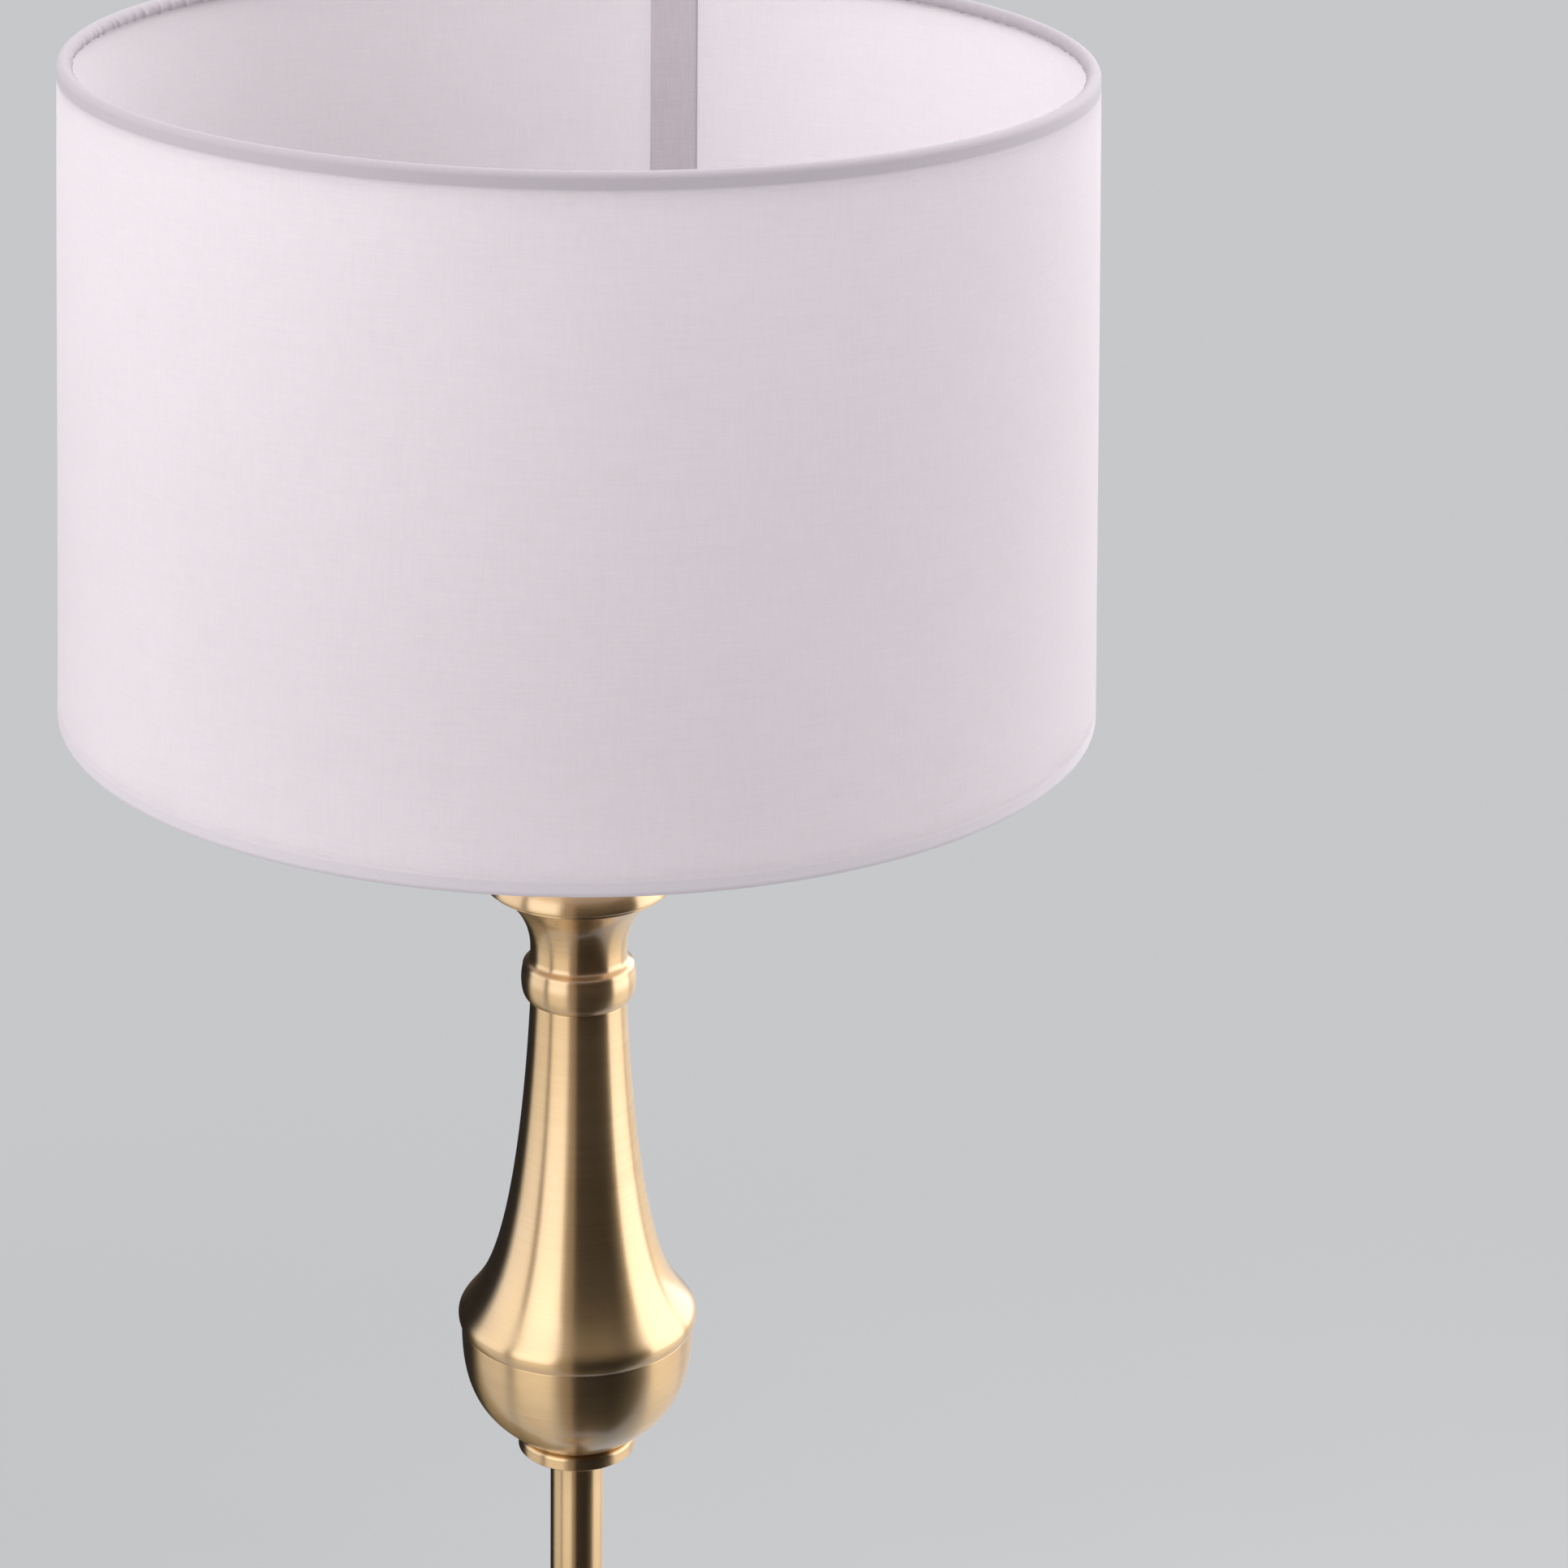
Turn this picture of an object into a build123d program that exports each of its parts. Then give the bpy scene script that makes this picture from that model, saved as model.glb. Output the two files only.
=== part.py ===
from build123d import *
from math import acos, degrees, radians, sin, sqrt, tan
import os

# Floor lamp: a weighted round base, a straight tube in two lengths, a turned and spun brass vase at the
# head of the tube, a switched lampholder above it, and a drum shade carried by a three-armed spider.
# Millimetres, +Z up. The origin is on the floor, on the axis of the column.

# ---------------------------------------------------------------------------------------------------
# Driving dimensions
# ---------------------------------------------------------------------------------------------------

lamp_height = 1562.0          # floor to the top edge of the shade

# Fits
slip = 0.1                    # radial gap between pieces of one body, one inside the other
running = 0.08                # radial gap round the sliding push bar
seat_gap = 0.2                # gap between the shade's fitter and the lampholder pieces that hold it
glue_line = 0.05              # gap between glued layers and at welded ends
side_gap = 0.6                # gap where two bodies pass each other

# Shade
shade_height = 252.0
shade_top_radius = 190.0
shade_bottom_radius = 200.0
cover_thickness = 1.0
liner_thickness = 0.5
ring_wire_radius = 1.7
roll_wall = 0.8               # fabric and lining turned round the wire
seam_width = 20.0
seam_thickness = 0.5
seam_azimuth = 78.5           # degrees from +X towards +Y

# Spider and fitter
arm_radius = 2.0
arm_azimuths = (90.0, 210.0, 330.0)
fitter_thickness = 1.5
fitter_rise = 12.0            # shade seat above the shade's lower edge

# Threaded rod and its hardware
rod_radius = 5.0
rod_bore_radius = 3.5
nut_flats = 14.0
nut_height = 5.0
washer_radius = 10.0
washer_thickness = 1.5
thread_engagement = 15.0      # length of each threaded bush
thread_past_end = 2.0         # what a rod shows past its bush or nut

# Tube
tube_radius = 11.0
tube_wall = 1.2
tube_seat_depth = 12.0        # how deep a tube enters the coupler or the base collar
coupler_height = 520.0        # middle of the coupler above the floor
coupler_radius = tube_radius + 3.0
coupler_web = 6.0
coupler_bead_radius = coupler_radius + 2.0
coupler_bead_height = 5.0
coupler_lip = 1.2             # flat end of the coupler round each socket
coupler_taper = 3.0

# Stem collar under the vase
collar_radius = 24.3
collar_thickness = 5.9
collar_hub_radius = tube_radius + 3.0
collar_hub_height = 6.0
collar_hub_edge = 1.0
collar_tube_depth = 3.4       # how far the tube enters the collar above its hub

# Vase
vase_radius = 48.8
vase_wall = 1.0
crease_radius = vase_radius - 1.3     # where the trumpet's edge meets the bowl's rim
shoulder_height = 5.0         # widest place of the vase above the crease
bowl_height = 51.7
bowl_foot_radius = 21.5
bowl_lap = 2.5                # height of the bowl's set-in rim
bowl_lap_gap = 0.2
trumpet_height = 145.6
trumpet_top_radius = 19.3

# Neck and its cap
neck_radius = 19.3
throat_height = 2.8           # straight part of the neck, between the ring and the cove
cove_radius = 29.0
lip_radius = 35.6
lip_thickness = 1.4
ring_radius = neck_radius + 3.65      # turned ring at the foot of the neck, slightly barrelled
ring_barrel = 0.55
ring_foot_height = 4.2
ring_side_height = 10.0
ring_shoulder_height = 5.8
neck_recess_radius = 14.0
neck_recess_depth = 34.0
cap_drop = 76.9               # rim of the cap below the shade's lower edge
cap_radius = lip_radius + 2.2
cap_edge = 1.0
cap_height = 18.0
cap_flat_radius = 12.0
cap_recess_radius = 26.0
cap_recess_depth = 11.0

# Lampholder
holder_radius = 20.0
holder_wall = 1.0
holder_entry_radius = 8.5
holder_entry_height = 5.0
dome_height = 34.0
dome_shoulder = 18.0          # where the dome becomes straight
holder_lap = 4.0
skirt_radius = holder_radius - 0.5
skirt_height = 18.0
flange_radius = skirt_radius + 5.0
flange_thickness = 2.0
fitter_hole_radius = skirt_radius + 1.5
fitter_outer_radius = fitter_hole_radius + 9.0
switch_height = 24.0          # push bar above the foot of the holder
bar_radius = 2.5
bar_travel = 6.0
bar_reach = 4.0               # how far the pushed-in end still stands out
bar_cap_radius = 3.4
bar_cap_length = 3.0
bar_cap_end = 1.0             # thickness of the cap's end
bar_cap_round = 0.8
core_floor = 8.0
core_skirt_wall = 4.0
screw_shell_radius = 13.4
screw_shell_wall = 0.5
screw_shell_setback = 1.5     # rim of the shell below the mouth of the holder
shade_ring_radius = skirt_radius + 8.0
shade_ring_height = 6.0
shade_ring_bevel = 3.0
tongue_width = 6.0
tongue_thickness = 0.5
tongue_rise = 2.4
tongue_tail_gap = 1.5         # from the tail's end to the screw shell
tongue_tail_end = -5.0
tongue_bend = -1.5
tongue_tip = 3.0

# Bulb
bulb_radius = 30.0
bulb_length = 105.0
bulb_wall = 0.8
bulb_cap_radius = 13.1
bulb_cap_height = 22.0
bulb_cap_wall = 0.5
bulb_cap_taper = 1.5          # how much narrower the cap is at its foot
bulb_cap_floor = 2.5
bulb_neck_radius = 12.4
bulb_neck_straight = 2.0      # straight glass above the cap
bulb_neck_depth = 6.0         # glass inside the cap
bulb_insulator_height = 4.0
bulb_button_radius = 4.5
bulb_button_height = 1.2
bulb_contact_gap = 0.3

# Base
base_radius = 140.0
base_wall = 1.2
base_edge_height = 24.0
base_edge_round = 7.0
base_step_radius = 116.0
base_step_height = 3.0
base_shoulder_rise = 1.5
cove_foot_reach = 30.0        # pulls that shape the cove between the step and the boss
cove_foot_rise = 3.0
cove_head_reach = 18.0
cove_head_drop = 10.0
boss_radius = 34.0
boss_height = 46.0
base_collar_radius = 30.0
base_collar_height = 34.0
base_collar_flange = 4.0
base_collar_step = 5.0        # from the flange's edge in to the bead
base_collar_bead = 3.0
base_collar_lip = 4.0
base_collar_lip_height = 5.0
base_collar_undercut = 1.6
base_collar_edge = 1.0
weight_radius = 128.0
weight_thickness = 11.0
weight_edge = 2.0
weight_hub_radius = 22.0
weight_hub_spread = 10.0      # how much wider the hub is at its foot
weight_recess_radius = 16.0
weight_recess_depth = 9.5
plate_thickness = 1.5
foot_radius = 9.0
foot_height = 5.0
foot_round = 1.2
foot_circle_radius = 112.0
foot_count = 4
foot_screw_radius = 2.0
foot_screw_length = 10.0
foot_screw_head_radius = 3.8
foot_screw_head_height = 2.2
foot_screw_head_round = 0.8
outlet_height = 12.0          # cable outlet above the floor, in the rear of the base
outlet_bore_radius = 3.6
bush_neck_radius = 4.6
bush_flange_radius = 6.2
bush_flange_thickness = 2.0
bush_flange_edge = 0.8
bush_grip_radius = 5.1
bush_grip_length = 3.0
groove_width = 10.0

# ---------------------------------------------------------------------------------------------------
# Heights that follow from them, from the floor up
# ---------------------------------------------------------------------------------------------------

ring_height = ring_foot_height + ring_side_height + ring_shoulder_height
cove_turn = acos(1 - (lip_radius - neck_radius) / cove_radius)
neck_height = ring_height + throat_height + cove_radius * sin(cove_turn) + lip_thickness

shade_bottom = lamp_height - shade_height
shade_seat = shade_bottom + fitter_rise
cap_rim = shade_bottom - cap_drop
trumpet_top = cap_rim - neck_height
vase_crease = trumpet_top - trumpet_height
bowl_bottom = vase_crease - bowl_height
collar_bottom = bowl_bottom - collar_thickness
upper_tube_top = collar_bottom + collar_tube_depth
upper_tube_bottom = coupler_height + coupler_web / 2
lower_tube_top = coupler_height - coupler_web / 2
base_collar_top = boss_height + base_collar_height
lower_tube_bottom = base_collar_top - tube_seat_depth

washer_seat = cap_rim + cap_height
nut_seat = washer_seat + washer_thickness
holder_foot = nut_seat + nut_height
holder_joint = holder_foot + dome_height
holder_mouth = shade_seat + skirt_height
bar_height = holder_foot + switch_height
rod_top = holder_foot + holder_entry_height + thread_past_end

rod_hole_radius = rod_radius + slip
tube_inner_radius = tube_radius - tube_wall
tube_socket_radius = tube_radius + slip

os.makedirs("parts", exist_ok=True)


def half_section(height):
    """Drawing plane through the axis: x is the radius, y is the height above the given level."""
    return Plane(origin=(0, 0, height), x_dir=(1, 0, 0), z_dir=(0, -1, 0))


def save(builder, name):
    """Label a finished piece and write it under its own name."""
    builder.part.label = name
    export_step(builder.part, f"parts/{name}.step")


def pipe(outer, inner, bottom, top):
    """Straight tube, sleeve or washer round the axis."""
    with BuildPart() as piece:
        with BuildSketch(Plane.XY.offset(bottom)):
            Circle(outer)
            Circle(inner, mode=Mode.SUBTRACT)
        extrude(amount=top - bottom)
    return piece


def hex_nut(bottom):
    """Hexagon nut for the threaded rod, with its corners turned off."""
    corner = nut_flats / sqrt(3)
    with BuildPart() as piece:
        with BuildSketch(Plane.XY.offset(bottom)):
            RegularPolygon(nut_flats / 2, 6, major_radius=False)
            Circle(rod_hole_radius, mode=Mode.SUBTRACT)
        extrude(amount=nut_height)
        with BuildSketch(half_section(bottom)):
            with BuildLine():
                turned_off = (corner - nut_flats / 2) * tan(radians(30))
                Polyline((0, 0), (nut_flats / 2, 0), (corner, turned_off),
                         (corner, nut_height - turned_off), (nut_flats / 2, nut_height),
                         (0, nut_height), close=True)
            make_face()
        revolve(axis=Axis.Z, mode=Mode.INTERSECT)
    return piece


# ---------------------------------------------------------------------------------------------------
# Base: spun cover over a cast weight, closed by a plate on rubber feet
# ---------------------------------------------------------------------------------------------------

with BuildPart() as base_cover:
    # spun in one sheet: straight edge, rounded shoulder, a step, then a cove up to the boss; its inner
    # face is the outer one moved in and down by the sheet's thickness
    step_foot = base_edge_height + base_shoulder_rise
    step_top = step_foot + base_step_height
    for inset, mode in ((0, Mode.ADD), (base_wall, Mode.SUBTRACT)):
        rim = base_radius - inset
        step = base_step_radius - inset
        boss = boss_radius - inset
        with BuildSketch(half_section(-inset)):
            with BuildLine():
                Line((0, foot_height), (rim, foot_height))
                Line((rim, foot_height), (rim, base_edge_height - base_edge_round))
                edge = JernArc((rim, base_edge_height - base_edge_round), (0, 1), base_edge_round, 90)
                Polyline(edge @ 1, (step, step_foot), (step, step_top))
                Bezier((step, step_top), (step - cove_foot_reach, step_top + cove_foot_rise),
                       (boss + cove_head_reach, boss_height - cove_head_drop), (boss, boss_height))
                Polyline((boss, boss_height), (0, boss_height), (0, foot_height))
            make_face()
        revolve(axis=Axis.Z, mode=mode)
    with BuildSketch(Plane.XY.offset(boss_height)):
        Circle(rod_hole_radius)
    extrude(amount=-2 * base_wall, mode=Mode.SUBTRACT)
    # round hole for the cable bush, in the rear edge
    with BuildSketch(Plane.XZ.offset(-base_radius - base_wall)):
        with Locations((0, outlet_height)):
            Circle(bush_neck_radius + slip)
    extrude(amount=3 * base_wall, mode=Mode.SUBTRACT)
save(base_cover, "base_cover")

plate_top = foot_height + plate_thickness
weight_top = plate_top + weight_thickness
recess_top = plate_top + weight_recess_depth
hub_top = boss_height - base_wall
foot_places = PolarLocations(foot_circle_radius, foot_count, start_angle=45)

with BuildPart() as base_weight:
    # grey iron casting: disc, central hub under the boss, nut recess and cable groove below
    with BuildSketch(half_section(0)):
        with BuildLine():
            Polyline((weight_recess_radius, plate_top), (weight_radius, plate_top),
                     (weight_radius, weight_top - weight_edge), (weight_radius - weight_edge, weight_top),
                     (weight_hub_radius + weight_hub_spread, weight_top), (weight_hub_radius, hub_top),
                     (rod_hole_radius, hub_top), (rod_hole_radius, recess_top),
                     (weight_recess_radius, recess_top), close=True)
        make_face()
    revolve(axis=Axis.Z)
    with BuildSketch(Plane.XY.offset(plate_top)):
        with Locations((0, weight_radius / 2)):
            Rectangle(groove_width, weight_radius)
    extrude(amount=weight_recess_depth, mode=Mode.SUBTRACT)
    with BuildSketch(Plane.XY.offset(plate_top)):
        with foot_places:
            Circle(foot_screw_radius + slip)
    extrude(amount=weight_thickness, mode=Mode.SUBTRACT)
save(base_weight, "base_weight")

with BuildPart() as bottom_plate:
    with BuildSketch(Plane.XY.offset(foot_height)):
        Circle(base_radius - base_wall - slip)
        with foot_places:
            Circle(foot_screw_radius + slip, mode=Mode.SUBTRACT)
    extrude(amount=plate_thickness)
save(bottom_plate, "bottom_plate")

with BuildPart() as rubber_feet:
    with BuildSketch():
        with foot_places:
            Circle(foot_radius)
    extrude(amount=foot_height)
    fillet(rubber_feet.edges().group_by(Axis.Z)[0], radius=foot_round)
    head_room = foot_height - foot_screw_head_height
    with BuildSketch():
        with foot_places:
            Circle(foot_screw_head_radius + slip)
    extrude(amount=head_room, mode=Mode.SUBTRACT)
    with BuildSketch():
        with foot_places:
            Circle(foot_screw_radius + slip)
    extrude(amount=foot_height, mode=Mode.SUBTRACT)
save(rubber_feet, "rubber_feet")

with BuildPart() as foot_screws:
    with BuildSketch(Plane.XY.offset(head_room - foot_screw_head_height)):
        with foot_places:
            Circle(foot_screw_head_radius)
    extrude(amount=foot_screw_head_height)
    with BuildSketch(Plane.XY.offset(head_room)):
        with foot_places:
            Circle(foot_screw_radius)
    extrude(amount=foot_screw_length)
    fillet(foot_screws.edges().group_by(Axis.Z)[0], radius=foot_screw_head_round)
save(foot_screws, "foot_screws")

with BuildPart() as cable_bush:
    # snap-in bush: flange outside the cover, neck through it, grip inside
    grip_start = sqrt((base_radius - base_wall) ** 2 - bush_grip_radius ** 2) - slip
    flange_face = base_radius + bush_flange_thickness
    with BuildSketch(Plane.XY):
        with BuildLine():
            Polyline((outlet_bore_radius, flange_face), (bush_flange_radius - bush_flange_edge, flange_face),
                     (bush_flange_radius, flange_face - bush_flange_edge),
                     (bush_flange_radius, base_radius),
                     (bush_neck_radius, base_radius), (bush_neck_radius, grip_start),
                     (bush_grip_radius, grip_start), (bush_neck_radius, grip_start - bush_grip_length),
                     (outlet_bore_radius, grip_start - bush_grip_length), close=True)
        make_face()
    revolve(axis=Axis.Y)
cable_bush.part = cable_bush.part.moved(Location((0, 0, outlet_height)))
save(cable_bush, "cable_bush")

base_nut_seat = recess_top - washer_thickness
base_washer = pipe(washer_radius, rod_hole_radius, base_nut_seat, recess_top)
save(base_washer, "base_washer")

base_nut = hex_nut(base_nut_seat - nut_height)
save(base_nut, "base_nut")

base_nipple = pipe(rod_radius, rod_bore_radius, base_nut_seat - nut_height,
                   lower_tube_bottom + thread_engagement + thread_past_end)
save(base_nipple, "base_nipple")

with BuildPart() as base_collar:
    # turned foot of the column: flange, bead, cove and a lip round the socket that takes the tube
    collar_lip = tube_socket_radius + base_collar_lip
    flange_round = base_collar_flange / 2
    bead_radius = base_collar_radius - base_collar_step
    bead_top = base_collar_flange + 2 * base_collar_bead
    lip_bottom = base_collar_height - base_collar_lip_height
    socket_floor = base_collar_height - tube_seat_depth
    with BuildSketch(half_section(boss_height)):
        with BuildLine():
            Line((rod_hole_radius, 0), (base_collar_radius, 0))
            Line((base_collar_radius, 0), (base_collar_radius, flange_round))
            foot_edge = JernArc((base_collar_radius, flange_round), (0, 1), flange_round, 90)
            Line(foot_edge @ 1, (bead_radius, base_collar_flange))
            bead = ThreePointArc((bead_radius, base_collar_flange),
                                 (bead_radius + base_collar_bead / 2, base_collar_flange + base_collar_bead),
                                 (bead_radius, bead_top))
            shaft = Bezier(bead @ 1, (collar_lip + 1, bead_top + 0.05 * (lip_bottom - bead_top)),
                           (collar_lip - 2, bead_top + 0.53 * (lip_bottom - bead_top)),
                           (collar_lip - base_collar_undercut, lip_bottom))
            Polyline(shaft @ 1, (collar_lip, lip_bottom),
                     (collar_lip, base_collar_height - base_collar_edge),
                     (collar_lip - base_collar_edge, base_collar_height),
                     (tube_socket_radius, base_collar_height), (tube_socket_radius, socket_floor),
                     (rod_hole_radius, socket_floor), (rod_hole_radius, 0))
        make_face()
    revolve(axis=Axis.Z)
save(base_collar, "base_collar")

# ---------------------------------------------------------------------------------------------------
# Column: two lengths of tube, joined by a turned coupler over a threaded stud
# ---------------------------------------------------------------------------------------------------

lower_tube = pipe(tube_radius, tube_inner_radius, lower_tube_bottom, lower_tube_top)
save(lower_tube, "lower_tube")

upper_tube = pipe(tube_radius, tube_inner_radius, upper_tube_bottom, upper_tube_top)
save(upper_tube, "upper_tube")

with BuildPart() as tube_coupler:
    half_length = coupler_web / 2 + tube_seat_depth
    with BuildSketch(half_section(coupler_height)):
        with BuildLine():
            Polyline((rod_hole_radius, 0), (rod_hole_radius, coupler_web / 2),
                     (tube_socket_radius, coupler_web / 2), (tube_socket_radius, half_length),
                     (tube_socket_radius + coupler_lip, half_length),
                     (coupler_radius, half_length - coupler_taper),
                     (coupler_radius, coupler_bead_height))
            ThreePointArc((coupler_radius, coupler_bead_height), (coupler_bead_radius, 0),
                          (coupler_radius, -coupler_bead_height))
            Polyline((coupler_radius, -coupler_bead_height), (coupler_radius, coupler_taper - half_length),
                     (tube_socket_radius + coupler_lip, -half_length), (tube_socket_radius, -half_length),
                     (tube_socket_radius, -coupler_web / 2), (rod_hole_radius, -coupler_web / 2),
                     (rod_hole_radius, 0))
        make_face()
    revolve(axis=Axis.Z)
save(tube_coupler, "tube_coupler")

coupler_stud = pipe(rod_radius, rod_bore_radius,
                    lower_tube_top - thread_engagement - thread_past_end,
                    upper_tube_bottom + thread_engagement + thread_past_end)
save(coupler_stud, "coupler_stud")

with BuildPart() as tube_bushes:
    # one threaded bush brazed in each end of each tube
    for bush_bottom in (lower_tube_bottom, lower_tube_top - thread_engagement,
                        upper_tube_bottom, upper_tube_top - thread_engagement):
        with BuildSketch(Plane.XY.offset(bush_bottom)):
            Circle(tube_inner_radius - glue_line)
            Circle(rod_hole_radius, mode=Mode.SUBTRACT)
        extrude(amount=thread_engagement)
save(tube_bushes, "tube_bushes")

# ---------------------------------------------------------------------------------------------------
# Vase: collar, bowl, trumpet, neck and cap, clamped together on the threaded rod
# ---------------------------------------------------------------------------------------------------

threaded_rod = pipe(rod_radius, rod_bore_radius,
                    upper_tube_top - thread_engagement - thread_past_end, rod_top)
save(threaded_rod, "threaded_rod")

with BuildPart() as stem_collar:
    hub_bottom = -collar_hub_height
    with BuildSketch(half_section(collar_bottom)):
        with BuildLine():
            Polyline((rod_hole_radius, collar_thickness), (collar_radius - 1.5, collar_thickness))
            ThreePointArc((collar_radius - 1.5, collar_thickness),
                          (collar_radius - 0.4, collar_thickness - 0.5),
                          (collar_radius, collar_thickness - 1.6))
            Polyline((collar_radius, collar_thickness - 1.6), (collar_radius, 0.5),
                     (collar_radius - 0.5, 0), (collar_hub_radius, 0),
                     (collar_hub_radius, hub_bottom + collar_hub_edge),
                     (collar_hub_radius - collar_hub_edge, hub_bottom),
                     (tube_socket_radius, hub_bottom), (tube_socket_radius, collar_tube_depth),
                     (rod_hole_radius, collar_tube_depth), (rod_hole_radius, collar_thickness))
        make_face()
    revolve(axis=Axis.Z)
save(stem_collar, "stem_collar")

with BuildPart() as vase_bowl:
    # spun sheet: flat seat on the collar, round belly, then a rim set in to enter the trumpet
    lap_radius = crease_radius - vase_wall - bowl_lap_gap
    for inset, mode in ((0, Mode.ADD), (vase_wall, Mode.SUBTRACT)):
        foot = bowl_foot_radius - inset
        belly = crease_radius - inset
        depth = bowl_height - 2 * inset
        with BuildSketch(half_section(bowl_bottom + inset)):
            with BuildLine():
                Line((0, 0), (foot, 0))
                Bezier((foot, 0), (foot + 0.824 * (belly - foot), 0.27 * depth), (belly, 0.526 * depth),
                       (belly, depth))
                Polyline((belly, depth), (0, depth), (0, 0))
            make_face()
        revolve(axis=Axis.Z, mode=mode)
    with BuildSketch(Plane.XY.offset(vase_crease)):
        Circle(lap_radius)
    extrude(amount=bowl_lap)
    with BuildSketch(Plane.XY.offset(vase_crease - vase_wall)):
        Circle(lap_radius - vase_wall)
    extrude(amount=vase_wall + bowl_lap, mode=Mode.SUBTRACT)
    with BuildSketch(Plane.XY.offset(bowl_bottom)):
        Circle(rod_hole_radius)
    extrude(amount=vase_wall, mode=Mode.SUBTRACT)
save(vase_bowl, "vase_bowl")

with BuildPart() as vase_trumpet:
    # spun sheet: flat top under the neck, long flare out to the shoulder, then a turned-in edge that
    # stands on the bowl's rim; the inner face is the outer one, moved in by the sheet's thickness
    flare = vase_radius - trumpet_top_radius
    shoulder = 1 - shoulder_height / trumpet_height

    def on_flare(outward, down, inset):
        """Point given as shares of the flare's width and of its height, set in by the wall."""
        return trumpet_top_radius + outward * flare - inset, -inset - down * (trumpet_height - inset)

    for inset, mode in ((0, Mode.ADD), (vase_wall, Mode.SUBTRACT)):
        edge = (crease_radius - inset, -trumpet_height)
        with BuildSketch(half_section(trumpet_top)):
            with BuildLine():
                Line((0, -inset), on_flare(0, 0, inset))
                Bezier(on_flare(0, 0, inset), on_flare(0.045, 0.196, inset),
                       on_flare(0.203, 0.702, inset), on_flare(0.698, 0.868, inset))
                Bezier(on_flare(0.698, 0.868, inset), on_flare(0.864, 0.924, inset),
                       on_flare(1, shoulder - 0.025, inset), on_flare(1, shoulder, inset))
                TangentArc(on_flare(1, shoulder, inset), edge, tangent=(0, -1))
                Polyline(edge, (0, -trumpet_height), (0, -inset))
            make_face()
        revolve(axis=Axis.Z, mode=mode)
    with BuildSketch(Plane.XY.offset(trumpet_top)):
        Circle(rod_hole_radius)
    extrude(amount=-vase_wall, mode=Mode.SUBTRACT)
save(vase_trumpet, "vase_trumpet")

with BuildPart() as neck:
    # turned from bar: barrelled ring at the foot with a shoulder that runs out into the throat, then a
    # cove that opens to a thin lip under the cap
    ring_edge = ring_radius - ring_barrel
    ring_side_top = ring_foot_height + ring_side_height
    cove_start = ring_height + throat_height
    with BuildSketch(half_section(trumpet_top)):
        with BuildLine():
            Line((neck_recess_radius, 0), (trumpet_top_radius, 0))
            under = ThreePointArc((trumpet_top_radius, 0),
                                  (ring_edge - 0.35 * (ring_edge - trumpet_top_radius),
                                   0.35 * ring_foot_height),
                                  (ring_edge, ring_foot_height))
            barrel = ThreePointArc(under @ 1, (ring_radius, ring_foot_height + ring_side_height / 2),
                                   (ring_edge, ring_side_top))
            Bezier(barrel @ 1, (ring_edge, ring_side_top + 0.7 * ring_shoulder_height),
                   (neck_radius, ring_side_top + 0.3 * ring_shoulder_height), (neck_radius, ring_height))
            Line((neck_radius, ring_height), (neck_radius, cove_start))
            cove = JernArc((neck_radius, cove_start), (0, 1), cove_radius, -degrees(cove_turn))
            Line(cove @ 1, (lip_radius, neck_height))
            Polyline((lip_radius, neck_height), (rod_hole_radius, neck_height),
                     (rod_hole_radius, neck_recess_depth), (neck_recess_radius, neck_recess_depth),
                     (neck_recess_radius, 0))
        make_face()
    revolve(axis=Axis.Z)
save(neck, "neck")

with BuildPart() as vase_cap:
    # turned bell, hollowed below: eased rim, steep flank, rounded over to a flat seat for the washer
    with BuildSketch(half_section(cap_rim)):
        with BuildLine():
            Polyline((cap_flat_radius, cap_height), (rod_hole_radius, cap_height),
                     (rod_hole_radius, cap_recess_depth), (cap_recess_radius, cap_recess_depth),
                     (cap_recess_radius, 0), (cap_radius - cap_edge, 0))
            rim = JernArc((cap_radius - cap_edge, 0), (1, 0), cap_edge, 90)
            Bezier(rim @ 1, (cap_radius, 0.5 * cap_height),
                   (cap_flat_radius + 0.62 * (cap_radius - cap_flat_radius), cap_height),
                   (cap_flat_radius, cap_height))
        make_face()
    revolve(axis=Axis.Z)
save(vase_cap, "vase_cap")

rod_washer = pipe(washer_radius, rod_hole_radius, washer_seat, nut_seat)
save(rod_washer, "rod_washer")

rod_nut = hex_nut(nut_seat)
save(rod_nut, "rod_nut")

# ---------------------------------------------------------------------------------------------------
# Lampholder with push-bar switch
# ---------------------------------------------------------------------------------------------------

inner_holder_radius = holder_radius - holder_wall
block_foot = holder_foot + dome_shoulder + holder_wall
block_top = holder_joint - 1.0

with BuildPart() as holder_dome:
    # drawn cup: entry boss, round swell, straight side; the inner face is moved in and up by the wall
    for inset, mode in ((0, Mode.ADD), (holder_wall, Mode.SUBTRACT)):
        entry = holder_entry_radius - inset
        side = holder_radius - inset
        with BuildSketch(half_section(holder_foot + inset)):
            with BuildLine():
                Polyline((0, 0), (entry, 0), (entry, holder_entry_height))
                Bezier((entry, holder_entry_height), (side - 4, holder_entry_height + 0.5),
                       (side, dome_shoulder - 8), (side, dome_shoulder))
                Polyline((side, dome_shoulder), (side, dome_height), (0, dome_height), (0, 0))
            make_face()
        revolve(axis=Axis.Z, mode=mode)
    with BuildSketch(Plane.XY.offset(holder_foot)):
        Circle(rod_hole_radius)
    extrude(amount=holder_wall, mode=Mode.SUBTRACT)
    with BuildSketch(Plane.YZ):
        with Locations((0, bar_height)):
            Circle(bar_radius + running)
    extrude(amount=holder_radius + side_gap, both=True, mode=Mode.SUBTRACT)
save(holder_dome, "holder_dome")

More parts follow.
